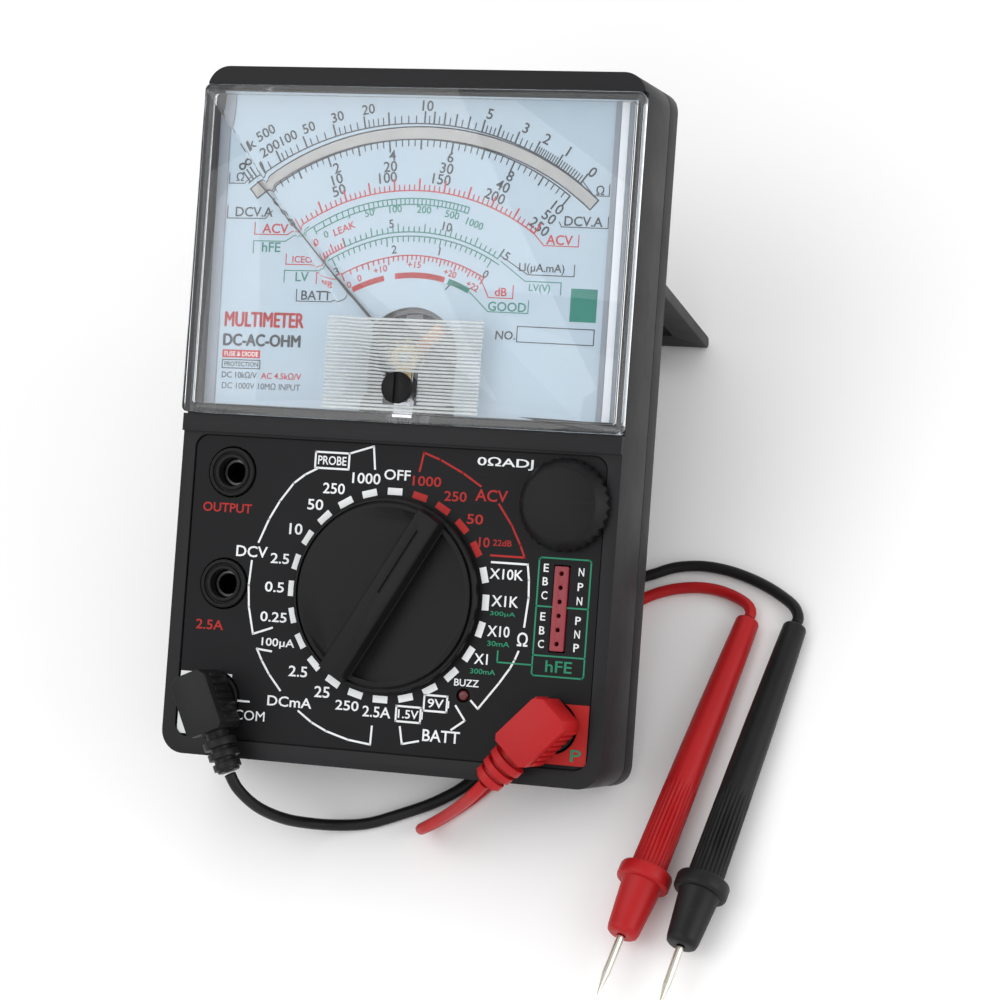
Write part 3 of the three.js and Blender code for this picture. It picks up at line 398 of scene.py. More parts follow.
def plastic(name, dark, light, roughness, grain=2500.0, depth=0.12, coat=0.0, marks=0.06, specular=0.5):
    """Moulded plastic between two tones, rough by (low, high)."""
    material, tree, shader = new_material(name, dark)
    surface = use_group(tree, "Moulded surface", Grain_scale=grain)
    tone = blend_colours(tree, spread(tree, surface["Cloud"], 0.3, 0.7), dark, light)
    worn = tuple(min(1.0, c * 1.25 + marks * 0.12) for c in light)
    tree.links.new(blend_colours(tree, spread(tree, surface["Marks"], 0, 1, 0, marks * 4), tone, worn),
                   shader.inputs["Base Color"])
    rough = spread(tree, surface["Cloud"], 0.3, 0.7, *roughness)
    tree.links.new(rough, shader.inputs["Roughness"])
    shader.inputs["Coat Weight"].default_value = coat
    shader.inputs["Coat Roughness"].default_value = 0.15
    shader.inputs["Specular IOR Level"].default_value = specular
    bump(tree, shader, surface["Grain"], depth, 0.00006)
    return material


def metal(name, bright, dull, roughness, lines=1200.0):
    material, tree, shader = new_material(name, bright)
    surface = use_group(tree, "Metal grain", Line_scale=lines)
    tree.links.new(blend_colours(tree, spread(tree, surface["Tarnish"], 0.35, 0.7), bright, dull),
                   shader.inputs["Base Color"])
    tree.links.new(spread(tree, surface["Lines"], 0.3, 0.7, *roughness), shader.inputs["Roughness"])
    shader.inputs["Metallic"].default_value = 1.0
    bump(tree, shader, surface["Lines"], 0.08, 0.00004)
    return material


def ink(name, colour, roughness=0.45):
    """Screen-printed ink, slightly uneven in cover."""
    material, tree, shader = new_material(name, colour)
    surface = use_group(tree, "Moulded surface", Grain_scale=1800.0)
    thin = tuple(c * 0.86 for c in colour)
    tree.links.new(blend_colours(tree, spread(tree, surface["Cloud"], 0.35, 0.65), colour, thin),
                   shader.inputs["Base Color"])
    tree.links.new(spread(tree, surface["Grain"], 0.3, 0.7, roughness - 0.06, roughness + 0.06),
                   shader.inputs["Roughness"])
    shader.inputs["Specular IOR Level"].default_value = 0.2
    return material


def clear_plastic(name, roughness, tint, ior=1.49):
    """Clear moulding that lets the lamps through to what lies under it."""
    material, tree, shader = new_material(name, tint)
    surface = use_group(tree, "Moulded surface", Grain_scale=900.0)
    shader.inputs["Base Color"].default_value = (*tint, 1)
    shader.inputs["Transmission Weight"].default_value = 1.0
    shader.inputs["IOR"].default_value = ior
    worn = spread(tree, surface["Marks"], 0, 1, roughness, roughness + 0.05)
    tree.links.new(worn, shader.inputs["Roughness"])
    through = tree.nodes.new("ShaderNodeBsdfTransparent")
    through.inputs["Color"].default_value = (*(0.9 + 0.1 * c for c in tint), 1)
    path = tree.nodes.new("ShaderNodeLightPath")
    mix = tree.nodes.new("ShaderNodeMixShader")
    out = tree.nodes["Material Output"]
    tree.links.new(path.outputs["Is Shadow Ray"], mix.inputs[0])
    tree.links.new(shader.outputs[0], mix.inputs[1])
    tree.links.new(through.outputs[0], mix.inputs[2])
    tree.links.new(mix.outputs[0], out.inputs["Surface"])
    return material


def frosted(name, dark, light, cover):
    """Ribbed clear plastic that shows what is behind it only dimly."""
    material = plastic(name, dark, light, (0.2, 0.35), 1500, 0.05)
    material.node_tree.nodes["Principled BSDF"].inputs["Alpha"].default_value = cover
    return material


def circuit_board():
    """Green lacquer over copper tracks."""
    material, tree, shader = new_material("Circuit board", (0.03, 0.16, 0.07))
    place = tree.nodes.new("ShaderNodeTexCoord")
    turn = tree.nodes.new("ShaderNodeMapping")
    turn.inputs["Rotation"].default_value = (-TILT, 0, 0)
    tree.links.new(place.outputs["Object"], turn.inputs["Vector"])
    tracks = tree.nodes.new("ShaderNodeTexBrick")
    tracks.inputs["Scale"].default_value = 120.0
    tracks.inputs["Mortar Size"].default_value = 0.06
    tracks.inputs["Color1"].default_value = (0.02, 0.13, 0.05, 1)
    tracks.inputs["Color2"].default_value = (0.03, 0.17, 0.07, 1)
    tracks.inputs["Mortar"].default_value = (0.12, 0.3, 0.1, 1)
    tree.links.new(turn.outputs["Vector"], tracks.inputs["Vector"])
    tree.links.new(tracks.outputs["Color"], shader.inputs["Base Color"])
    shader.inputs["Roughness"].default_value = 0.35
    bump(tree, shader, tracks.outputs["Fac"], 0.2, 0.0001)
    return material


def make_materials():
    moulded_surface()
    metal_grain()
    m = {}
    m["case"] = plastic("Case plastic", (0.009, 0.009, 0.010), (0.014, 0.014, 0.016), (0.42, 0.55),
                        2200, 0.22, specular=0.2)
    m["knob"] = plastic("Knob plastic", (0.006, 0.006, 0.0065), (0.010, 0.010, 0.011), (0.36, 0.46),
                        2600, 0.12, specular=0.14)
    m["panel"] = plastic("Panel label", (0.008, 0.008, 0.009), (0.012, 0.012, 0.0135), (0.38, 0.48),
                         3000, 0.1, specular=0.1)
    m["dial"] = plastic("Dial card", (0.43, 0.53, 0.61), (0.46, 0.55, 0.62), (0.55, 0.65),
                        1500, 0.04, marks=0.0, specular=0.2)
    # Painted shade: grey strips stand in for the shade of the clear window's walls beside the dial.
    m["painted_wall_shade"] = plastic("Dial painted shade", (0.24, 0.27, 0.31), (0.28, 0.31, 0.36), (0.5, 0.6), 1500, 0.1)
    # Painted highlight: bright strips stand in for glints on the clear window's walls beside the dial.
    m["painted_wall_highlight"] = plastic("Painted wall highlight", (0.78, 0.80, 0.84), (0.84, 0.86, 0.89), (0.15, 0.25),
                               900, 0.02)
    m["clear"] = clear_plastic("Clear window", 0.01, (0.96, 0.98, 1.0))
    m["ribbed"] = frosted("Ribbed window", (0.62, 0.64, 0.63), (0.72, 0.74, 0.73), 0.6)
    m["mirror"] = metal("Dial mirror", (0.27, 0.265, 0.255), (0.24, 0.238, 0.23), (0.3, 0.38), 300)
    m["steel"] = metal("Plain steel", (0.62, 0.62, 0.64), (0.48, 0.48, 0.49), (0.22, 0.36))
    # Dark steel for the magnet yoke and core; for the jack contacts the darkness is painted shade at the
    # bottom of their bores.
    m["dark_steel_and_bore_shade"] = metal("Dark steel and painted bore shade", (0.10, 0.10, 0.105), (0.06, 0.06, 0.06), (0.35, 0.5))
    m["needle_steel"] = metal("Needle steel", (0.74, 0.72, 0.66), (0.6, 0.56, 0.46), (0.16, 0.3), 2400)
    m["brass"] = metal("Brass", (0.78, 0.6, 0.3), (0.6, 0.44, 0.22), (0.2, 0.34))
    m["copper"] = metal("Enamelled copper", (0.66, 0.3, 0.14), (0.45, 0.18, 0.08), (0.25, 0.4), 3000)
    m["pointer"] = plastic("Pointer black", (0.01, 0.01, 0.01), (0.015, 0.015, 0.015), (0.5, 0.6),
                           3000, 0.02)
    m["socket_red"] = plastic("Socket red", (0.20, 0.012, 0.02), (0.26, 0.018, 0.03), (0.36, 0.46),
                              2400, 0.08)
    m["lamp_red"] = plastic("Lamp red", (0.09, 0.008, 0.012), (0.13, 0.012, 0.016), (0.3, 0.4), 2400, 0.04)
    m["white_part"] = plastic("White moulding", (0.7, 0.72, 0.72), (0.76, 0.77, 0.77), (0.4, 0.5))
    m["board"] = circuit_board()
    m["cell"] = plastic("Battery wrap", (0.05, 0.06, 0.16), (0.07, 0.08, 0.2), (0.25, 0.35), 1500, 0.03,
                        coat=0.3)
    m["rubber"] = plastic("Foot rubber", (0.012, 0.012, 0.012), (0.02, 0.02, 0.02), (0.75, 0.9), 1200, 0.3)
    m["lead_red"] = plastic("Red lead", (0.36, 0.008, 0.010), (0.43, 0.011, 0.013), (0.36, 0.46),
                            1600, 0.08, marks=0.02, specular=0.22)
    m["lead_black"] = plastic("Black lead", (0.007, 0.007, 0.0075), (0.012, 0.012, 0.013), (0.36, 0.48),
                              1600, 0.1, specular=0.2)
    m["ink_white"] = ink("White ink", (0.82, 0.84, 0.85))
    m["ink_red"] = ink("Red ink", (0.42, 0.018, 0.016))
    m["ink_green"] = ink("Green ink", (0.02, 0.24, 0.13))
    m["card_black"] = ink("Dial black ink", (0.03, 0.035, 0.045), 0.6)
    m["card_red"] = ink("Dial red ink", (0.55, 0.025, 0.03), 0.6)
    m["card_green"] = ink("Dial green ink", (0.012, 0.21, 0.16), 0.6)
    m["card_grey"] = ink("Dial grey ink", (0.05, 0.055, 0.07), 0.6)
    return m


# ------------------------------------------------------------------ modelling helpers
def object_mode():
    bpy.ops.object.mode_set(mode="OBJECT")


def deselect():
    if bpy.context.object and bpy.context.object.mode != "OBJECT":
        object_mode()
    bpy.ops.object.select_all(action="DESELECT")


def activate(obj):
    deselect()
    obj.select_set(True)
    bpy.context.view_layer.objects.active = obj


def empty_mesh(name):
    """A new mesh object at the origin, open in edit mode, ready for primitives."""
    deselect()
    bpy.ops.object.add(type="MESH", location=(0, 0, 0))
    obj = bpy.context.object
    obj.name = name
    bpy.ops.object.mode_set(mode="EDIT")
    return obj


def cuboid(centre, size):
    """A box added to the mesh in edit mode."""
    bpy.ops.mesh.primitive_cube_add(size=1, location=centre, scale=size)


def apply_modifier(obj, kind, **settings):
    activate(obj)
    modifier = obj.modifiers.new(kind.title(), kind)
    for key, value in settings.items():
        setattr(modifier, key, value)
    bpy.ops.object.modifier_apply(modifier=modifier.name)


def cut_out(obj, tool):
    apply_modifier(obj, "BOOLEAN", operation="DIFFERENCE", object=tool, solver="EXACT")
    bpy.data.objects.remove(tool)


def round_edges(obj, width, segments=2, angle=35):
    apply_modifier(obj, "BEVEL", width=width * MM, segments=segments, limit_method="ANGLE",
                   angle_limit=math.radians(angle), miter_outer="MITER_ARC")


def settle(obj, name, body, material, place=PANEL, replaces=(), smooth=35, scale=MM):
    """Puts the piece's place into its mesh, gives it its finish and lets it ride on its body."""
    deselect()
    obj.name = name
    obj.data.name = name
    obj.data.transform(place @ Matrix.Scale(scale, 4) @ obj.matrix_basis)
    obj.matrix_basis = Matrix.Identity(4)
    obj.data.materials.clear()
    obj.data.materials.append(MATERIALS[material])
    for polygon in obj.data.polygons:
        polygon.material_index = 0
    activate(obj)
    bpy.ops.object.shade_smooth_by_angle(angle=math.radians(smooth))
    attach(obj, body)
    if replaces:
        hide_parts(*replaces)
    return obj


def merged_copy(node):
    """A CAD node's shape as one joined mesh, for finishing."""
    deselect()
    source = NODES[node]
    obj = bpy.data.objects.new(node + ".copy", source.data.copy())
    bpy.context.collection.objects.link(obj)
    activate(obj)
    bpy.ops.object.mode_set(mode="EDIT")
    bpy.ops.mesh.select_all(action="SELECT")
    bpy.ops.mesh.remove_doubles(threshold=0.000002)
    bpy.ops.mesh.dissolve_limited(angle_limit=math.radians(1.0))
    object_mode()
    return obj


def softened(node, name, body, material, width, segments=2, angle=35, smooth=35):
    """The finished piece for a CAD node: its own shape with softened edges."""
    obj = merged_copy(node)
    round_edges(obj, width, segments, angle)
    return settle(obj, name, body, material, TABLE, (node,), smooth, 1.0)


def finish_node(node, material):
    """A CAD node whose shape is right gets its finish."""
    data = NODES[node].data
    for index in range(max(1, len(data.materials))):
        if index < len(data.materials):
            data.materials[index] = MATERIALS[material]
        else:
            data.materials.append(MATERIALS[material])


def bar(x0, y0, x1, y1, width, z, thickness=0.04, extra=0.0):
    """One straight printed stroke, added to the mesh in edit mode."""
    length = math.hypot(x1 - x0, y1 - y0) + extra
    bpy.ops.mesh.primitive_cube_add(
        size=1, location=((x0 + x1) / 2, (y0 + y1) / 2, z),
        rotation=(0, 0, math.atan2(y1 - y0, x1 - x0)), scale=(length, width, thickness))


def polyline(points, width, z):
    for (x0, y0), (x1, y1) in zip(points, points[1:]):
        bar(x0, y0, x1, y1, width, z, extra=width)


def on_arc(radius, degrees, centre=ARC_CENTRE):
    """The place at an angle clockwise from straight up."""
    a = math.radians(degrees)
    return centre[0] + radius * math.sin(a), centre[1] + radius * math.cos(a)


def arc(radius, start, end, width, z, step=2.0):
    count = max(1, math.ceil(abs(end - start) / step))
    points = [on_arc(radius, start + (end - start) * i / count) for i in range(count + 1)]
    polyline(points, width, z)


def tick(radius, degrees, length, width, z):
    """A tick from the radius outwards, or inwards where the length is negative."""
    bar(*on_arc(radius, degrees), *on_arc(radius + length, degrees), width * 1.2, z)


def scale(radius, start, sweep, count, every, long, short, z, widths=(0.2, 0.2), power=1.0):
    """Ticks over the sweep, a long one every so many."""
    for i in range(count + 1):
        place = start + sweep * (i / count) ** power
        if i % every == 0:
            tick(radius, place, long, widths[0], z)
        else:
            tick(radius, place, short, widths[1], z)


def lettering(name, rows, z, boldness=0.012, thickness=0.03):
    """One mesh of all the words. Each row: words, x, y, width or None, height, turn.

    Words with an M stay thin, because a thickened M fills in.
    """
    deselect()
    made = []
    for words, x, y, width, height, turn in rows:
        bpy.ops.object.text_add(location=(0, 0, 0))
        text = bpy.context.object
        text.data.body = words
        text.data.resolution_u = 3
        text.data.offset = 0.0 if "M" in words else boldness
        text.data.extrude = 0.5
        made.append((text, x, y, width, height, turn))
    deselect()
    for row in made:
        row[0].select_set(True)
    bpy.context.view_layer.objects.active = made[0][0]
    bpy.ops.object.convert(target="MESH")
    for text, x, y, width, height, turn in made:
        xs = [v.co.x for v in text.data.vertices]
        ys = [v.co.y for v in text.data.vertices]
        tall = max(ys) - min(ys)
        across = height / tall if width is None else width / (max(xs) - min(xs))
        centre = Matrix.Translation((-(min(xs) + max(xs)) / 2, -(min(ys) + max(ys)) / 2, 0))
        size = Matrix.Diagonal((across, height / tall, thickness, 1))
        text.data.transform(Matrix.Translation((x, y, z)) @ Matrix.Rotation(turn, 4, "Z") @ size @ centre)
        text.matrix_basis = Matrix.Identity(4)
    bpy.ops.object.join()
    obj = bpy.context.object
    obj.name = name
    return obj


def joined(obj, *others):
    activate(obj)
    for other in others:
        other.select_set(True)
    bpy.ops.object.join()
    return obj


def print_on(part, colour, rows, z, *shapes):
    """Words joined with their lines as one printed piece of the panel or the dial."""
    object_mode()
    words = lettering("%s_words_%s" % (part, colour), rows, z)
    ink_kind = {"dial": "card_", "panel": "ink_"}[part]
    settle(joined(words, *shapes), "%s_print_%s" % (part, colour), BODY, ink_kind + colour)


def curve_points(points, step=1.2):
    """The route's points on one smooth line, evenly close together."""
    pts = [Vector(p) for p in points]
    pts = [pts[0] * 2 - pts[1]] + pts + [pts[-1] * 2 - pts[-2]]
    result = []
    for p0, p1, p2, p3 in zip(pts, pts[1:], pts[2:], pts[3:]):
        t = [0.0]
        for a, b in ((p0, p1), (p1, p2), (p2, p3)):
            t.append(t[-1] + max(1e-6, (b - a).length) ** 0.5)
        count = max(2, round((p2 - p1).length / step))
        for i in range(count):
            s = t[1] + (t[2] - t[1]) * i / count
            a1 = p0.lerp(p1, (s - t[0]) / (t[1] - t[0]))
            a2 = p1.lerp(p2, (s - t[1]) / (t[2] - t[1]))
            a3 = p2.lerp(p3, (s - t[2]) / (t[3] - t[2]))
            b1 = a1.lerp(a2, (s - t[0]) / (t[2] - t[0]))
            b2 = a2.lerp(a3, (s - t[1]) / (t[3] - t[1]))
            result.append(b1.lerp(b2, (s - t[1]) / (t[2] - t[1])))
    result.append(pts[-2])
    return result


# ------------------------------------------------------------------ settings
class MultimeterFinish(bpy.types.PropertyGroup):
    """Edges and print of the instrument."""
    case_edge: bpy.props.FloatProperty(
        name="Case edge", description="Radius of the case's outer edges, in mm", default=0.9, min=0.1,
        max=2.0)
    print_width: bpy.props.FloatProperty(
        name="Line width", description="Width of the printed panel lines, in mm", default=0.42, min=0.1,
        max=1.0)


class MultimeterStudio(bpy.types.PropertyGroup):
    """Stage, lamps and camera."""
    floor_colour: bpy.props.FloatVectorProperty(name="Floor", description="Colour of the plain floor",
                                                subtype="COLOR", default=(0.97, 0.97, 0.97), min=0, max=1)
    sky_strength: bpy.props.FloatProperty(name="Sky", description="Strength of the even light all round",
                                          default=0.75, min=0, max=5)
    key_power: bpy.props.FloatProperty(name="Key lamp", description="Power of the main soft lamp",
                                       default=2.3, min=0, max=100, subtype="POWER")
    lens: bpy.props.FloatProperty(name="Lens", description="Focal length of the camera",
                                  default=115.2, min=20, max=300, unit="CAMERA")


MATERIALS = {}
# Each lamp's name, place in metres, size in metres and share of the main lamp's power.
LAMPS = (
    ("key", (-0.35, -0.25, 0.75), 0.7, 1.0), ("right", (0.75, -0.05, 0.3), 0.6, 1.0),
    ("front", (0.1, -0.8, 0.5), 0.6, 0.35), ("back", (-0.1, 0.7, 0.6), 0.7, 0.25),
)
LAMP_AIM = Vector((0, 0, 0.03))
CAMERA = {"place": (0.24181507, -0.33168032, 0.59941788), "turn": (31.942984, 14.652886, 12.868187)}


class MULTIMETER_OT_stage(bpy.types.Operator):
    """Floor, lamps and camera"""
    bl_idname = "multimeter.stage"
    bl_label = "Stage"

    def execute(self, context):
        studio = context.scene.multimeter_studio
        deselect()
        bpy.ops.mesh.primitive_plane_add(size=6, location=(0, 0, 0))
        floor = context.object
        floor.name = "studio_floor"
        material, tree, shader = new_material("Studio floor", tuple(studio.floor_colour))
        shader.inputs["Base Color"].default_value = (*studio.floor_colour, 1)
        shader.inputs["Roughness"].default_value = 0.9
        shader.inputs["Specular IOR Level"].default_value = 0.0
        floor.data.materials.append(material)
        world = bpy.data.worlds.new("Studio")
        world.use_nodes = True
        world.node_tree.nodes["Background"].inputs["Color"].default_value = (1, 1, 1, 1)
        world.node_tree.nodes["Background"].inputs["Strength"].default_value = studio.sky_strength
        context.scene.world = world
        for name, place, size, share in LAMPS:
            bpy.ops.object.light_add(type="AREA", location=place)
            lamp = context.object
            lamp.name = "lamp_" + name
            lamp.data.size = size
            lamp.data.energy = studio.key_power * share
            lamp.rotation_euler = (LAMP_AIM - Vector(place)).to_track_quat("-Z", "Y").to_euler()
        bpy.ops.object.camera_add(location=CAMERA["place"],
                                  rotation=tuple(math.radians(angle) for angle in CAMERA["turn"]))
        camera = context.object
        camera.name = "studio_camera"
        camera.data.lens = studio.lens
        camera.data.sensor_width = 36.0
        camera.data.clip_start = 0.01
        context.scene.camera = camera
        context.scene.view_settings.view_transform = "Standard"
        return {"FINISHED"}


def coil_points(centre, start_angle, end_angle):
    """Flat spiral in, one layer up, flat spiral out."""
    turns, pitch = COIL["turns"], COIL["pitch"]
    total = 2 * turns * 2 * math.pi + (end_angle - start_angle)
    count = 2 * turns * 40
    half = total / 2
    points = []
    for i in range(1, count):
        swept = total * i / count
        if swept < half:
            radius = COIL["inner"] + pitch * turns * (1 - swept / half)
        else:
            radius = COIL["inner"] + pitch * turns * (swept - half) / half
        rise = min(1.0, max(0.0, (swept - half) / 0.9 + 0.5))
        height = COIL["low"] + (COIL["high"] - COIL["low"]) * rise * rise * (3 - 2 * rise)
        a = start_angle + swept
        points.append(Vector((centre[0] + radius * math.cos(a), centre[1] + radius * math.sin(a), height)))
    return points


class MULTIMETER_OT_cords(bpy.types.Operator):
    """Both test leads' cords with their tied coils"""
    bl_idname = "multimeter.cords"
    bl_label = "Cords"

    def execute(self, context):
        for colour, lead in LEADS.items():
            centre = lead["coil"]
            ends = (lead["front"][-1], lead["back"][0])
            reach = [math.atan2(y - centre[1], x - centre[0]) for x, y, _ in ends]
            route = curve_points(lead["front"]) + coil_points(centre, *reach) + curve_points(lead["back"])
            route = [p * MM for p in route]
            curve = bpy.data.curves.new(colour + "_cord", "CURVE")
            curve.dimensions = "3D"
            curve.bevel_depth = CORD_RADIUS * MM
            curve.bevel_resolution = 3
            curve.use_fill_caps = True
            spline = curve.splines.new("POLY")
            spline.points.add(len(route) - 1)
            for point, place in zip(spline.points, route):
                point.co = (*place, 1)
            spline.use_smooth = True
            cord = bpy.data.objects.new(colour + "_cord", curve)
            context.collection.objects.link(cord)
            activate(cord)
            bpy.ops.object.convert(target="MESH")
            cord = context.object
            cord.data.materials.clear()
            cord.data.materials.append(MATERIALS["lead_" + colour])
            bpy.ops.object.shade_smooth_by_angle(angle=math.radians(60))
            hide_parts(colour + "_lead_front", colour + "_lead_coil", colour + "_lead_back")
            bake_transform(cord)
            tie = self.tie(colour, centre)
        return {"FINISHED"}

    def tie(self, colour, centre):
        """A flat band round the coil's far side."""
        obj = empty_mesh(colour + "_tie")
        middle = (centre[0], centre[1] + TIE["out"], COIL["pitch"])
        cuboid(middle, TIE["size"])
        bpy.ops.mesh.bevel(offset=0.9, segments=3, affect="EDGES")
        object_mode()
        tool = empty_mesh("tie_hollow")
        cuboid(middle, TIE["hollow"])
        object_mode()
        cut_out(obj, tool)
        return settle(obj, colour + "_tie", BODY, "lead_black", TABLE)


class MULTIMETER_OT_case(bpy.types.Operator):
    """Front case, rear cover, feet and screws"""
    bl_idname = "multimeter.case"
    bl_label = "Case"

    def execute(self, context):
        edge = context.scene.multimeter_finish.case_edge
        for node, name in (("front_case", "case_front"), ("rear_cover", "case_rear")):
            softened(node, name, BODY, "case", edge, 3)
        for side in ("left", "right"):
            softened("foot_" + side, "rubber_foot_" + side, BODY, "rubber", 0.4)
        for index in (1, 2):
            softened("case_screw_%d" % index, "cover_screw_%d" % index, BODY, "steel", 0.08)
        return {"FINISHED"}


class MULTIMETER_OT_window(bpy.types.Operator):
    """Clear window, its ribbed part and the zero screw"""
    bl_idname = "multimeter.window"
    bl_label = "Window"

    def execute(self, context):
        softened("window_cover", "window_clear", BODY, "clear", 0.35, angle=30, smooth=30)
        ribs = empty_mesh("window_ribs")
        for i in range(RIBS["count"]):
            y = RIBS["first"] + (RIBS["last"] - RIBS["first"]) * i / (RIBS["count"] - 1)
            for x0, x1 in self.spans(y):
                bpy.ops.mesh.primitive_cylinder_add(
                    vertices=8, radius=RIBS["radius"], depth=x1 - x0, rotation=(0, math.pi / 2, 0),
                    location=((x0 + x1) / 2, y, COVER_INNER - RIBS["drop"]))
        object_mode()
        settle(ribs, "window_ribs", BODY, "ribbed", smooth=60)
        softened("zero_adjust_screw", "zero_screw_finished", "zero_screw", "knob", 0.15, angle=40)
        return {"FINISHED"}

    def spans(self, y):
        """A rib's lengths at this height, either side of the zero screw."""
        half, gap = RIBS["half"], ZERO_SCREW["clear_x"]
        beside_screw = abs(y - ZERO_SCREW["y"]) < ZERO_SCREW["clear_y"]
        return [(-half, -gap), (gap, half)] if beside_screw else [(-half, half)]


class MULTIMETER_OT_dial(bpy.types.Operator):
    """Dial plate, mirror and scales"""
    bl_idname = "multimeter.dial"
    bl_label = "Dial"

    def execute(self, context):
        finish_node("dial_plate", "dial")
        finish_node("mirror_strip", "mirror")
        z = DIAL_TOP + INK
        self.paint_wall_shade_and_highlights()
        self.black(z)
        self.red(z)
        self.green(z)
        return {"FINISHED"}

    def paint_wall_shade_and_highlights(self):
        """Painted shade (grey) and painted highlight (bright) strips between the printed card and the case
        walls.
        """
        for name, finish, strips in DIAL_STRIPS:
            edge = empty_mesh(name)
            for x0, x1 in strips:
                middle = ((x0 + x1) / 2, STRIP["y"], DIAL_TOP + STRIP["rise"])
                cuboid(middle, (x1 - x0, STRIP["length"], STRIP["height"]))
            object_mode()
            round_edges(edge, 0.12)
            settle(edge, name, BODY, finish)

    def words(self, arc_rows, side_rows):
        rows = [(word, x, y - 0.25, None, height, -math.atan2(x - ARC_CENTRE[0], y - ARC_CENTRE[1]))
                for height, row in arc_rows.items() for word, x, y in row]
        rows += [(word, x, y, None, height, 0) for height, row in side_rows.items() for word, x, y in row]
        return rows

    def spec(self, tone):
        return [(*row[:5], 0) for row in DIAL_SPEC if row[5] == tone]

    def black(self, z):
        lines = empty_mesh("dial_lines_black")
        arc(OHM, -39.6, 36.6, 0.28, z)
        arc(DCV, -36.4, 36.1, 0.28, z)
        for i in range(51):
            long = 2.6 if i % 10 == 0 else 2.2 if i % 5 == 0 else 1.5
            tick(DCV, -36.4 + 72.5 * i / 50, -long, 0.3 if i % 5 == 0 else 0.2, z)
        marks = [(start + i * step, i % every == 0) for start, step, count, every in OHM_STEPS
                 for i in range(1, count + 1)]
        for ohms, major in marks + OHM_ENDS:
            place = OHM_FIRST + OHM_SWEEP * OHM_MIDDLE / (OHM_MIDDLE + ohms)
            tick(OHM, place, 2.7 if major else 1.7, 0.3 if major else 0.2, z)
        for points in BLACK_LEADERS:
            polyline(points, LEADER, z)
        print_on("dial", "black", self.words(DIAL_ARC_BLACK, DIAL_SIDE_BLACK), z, lines)
        for tone, level, finish in (("grey", z, "card_grey"), ("white", z + INK, "ink_white")):
            small = lettering("dial_spec", self.spec(tone), level)
            settle(small, "dial_print_" + tone, BODY, finish)

    def red(self, z):
        lines = empty_mesh("dial_lines_red")
        arc(ACV, -34.4, 34.7, 0.26, z)
        scale(ACV, -34.4, 69.1, 50, 5, 2.6, 1.3, z, (0.3, 0.22))
        arc(DB, -28.6, 29.4, 0.24, z)
        scale(DB, -28.6, 58, 32, 4, -1.6, -1, z, (0.22, 0.22), 0.82)
        arc(LI, -32.6, -24.4, 0.24, z)
        scale(LI, -32.6, 8.2, 8, 4, 2, 1.1, z, (0.22, 0.22))
        for start, end in BATTERY_BANDS["red"]:
            arc(BATTERY, start, end, BATTERY_BANDS["width"], z)
        for points in RED_LEADERS:
            polyline(points, LEADER, z)
        bar(*FUSE_BAR, z)
        print_on("dial", "red", self.words(DIAL_ARC_RED, DIAL_SIDE_RED) + self.spec("red"), z, lines)

    def green(self, z):
        lines = empty_mesh("dial_lines_green")
        arc(HFE, -34.2, 15.2, 0.24, z)
        arc(HFE_LOW, -31.0, 15.2, 0.24, z)
        scale(HFE, -31, 46.2, 33, 5, -1.9, -1.3, z, power=0.8)
        arc(LI, -24.2, 30.0, 0.24, z)
        arc(LV, -31.0, 31.4, 0.24, z)
        scale(LI, -24.2, 54.2, 30, 5, 1.9, 1.2, z)
        scale(LV, -29.6, 58, 30, 10, -1.9, -1.2, z)
        arc(BATTERY, *BATTERY_BANDS["green"], BATTERY_BANDS["width"], z)
        for points in GREEN_LEADERS:
            polyline(points, LEADER, z)
        bar(*GREEN_BLOCK, z)
        print_on("dial", "green", self.words(DIAL_ARC_GREEN, DIAL_SIDE_GREEN), z, lines)


class MULTIMETER_OT_panel(bpy.types.Operator):
    """Panel label, its print, the jacks, the socket and the light"""
    bl_idname = "multimeter.panel"
    bl_label = "Panel"

    def execute(self, context):
        width = context.scene.multimeter_finish.print_width
        finish_node("panel_plate", "panel")
        z = PANEL_TOP + INK
        for colour, lines, rows in (("white", WHITE_LINES, PANEL_WHITE), ("red", RED_LINES, PANEL_RED)):
            printed = self.lines(colour, lines, width, z)
            self.selector_marks(colour == "red", z)
            object_mode()
            square = self.corner_square(colour, z - 0.01)
            print_on("panel", colour, [(*row, 0) for row in rows], z, printed, square)
        green = self.lines("green", GREEN_LINES, width * 0.8, z)
        print_on("panel", "green", [(*row, 0) for row in PANEL_GREEN], z + INK, green)
        for name in JACKS:
            softened("jack_bushing_" + name, "jack_" + name, BODY, "knob", 0.14, 2)
            # The contacts' dark finish is painted shade deep in the jack bores.
            finish_node("jack_contact_" + name, "dark_steel_and_bore_shade")
        softened("hfe_socket", "transistor_socket", BODY, "socket_red", 0.1)
        finish_node("continuity_led", "lamp_red")
        return {"FINISHED"}

    def lines(self, colour, lines, width, z):
        obj = empty_mesh("panel_lines_" + colour)
        for points in lines:
            polyline(points, width, z)
        return obj

    def selector_marks(self, red, z):
        mark = SELECTOR_MARK
        for i in range(mark["count"]):
            if (i in mark["red"]) != red:
                continue
            a = math.radians(i * 360 / mark["count"])
            x, y = mark["radius"] * math.sin(a), mark["radius"] * math.cos(a)
            dx, dy = mark["length"] / 2 * math.cos(a), -mark["length"] / 2 * math.sin(a)
            bar(x - dx, y - dy, x + dx, y + dy, mark["width"], z)

    def corner_square(self, colour, z):
        """A printed square with its jack's round hole left open."""
        x, y, width, height, jack = CORNERS[colour]
        square = empty_mesh(colour + "_square")
        cuboid((x, y, z), (width, height, 0.03))
        object_mode()
        tool = empty_mesh("square_hole")
        bpy.ops.mesh.primitive_cylinder_add(vertices=64, radius=JACK_HOLE, depth=2,
                                            location=(*JACKS[jack], z))
        object_mode()
        cut_out(square, tool)
        return square


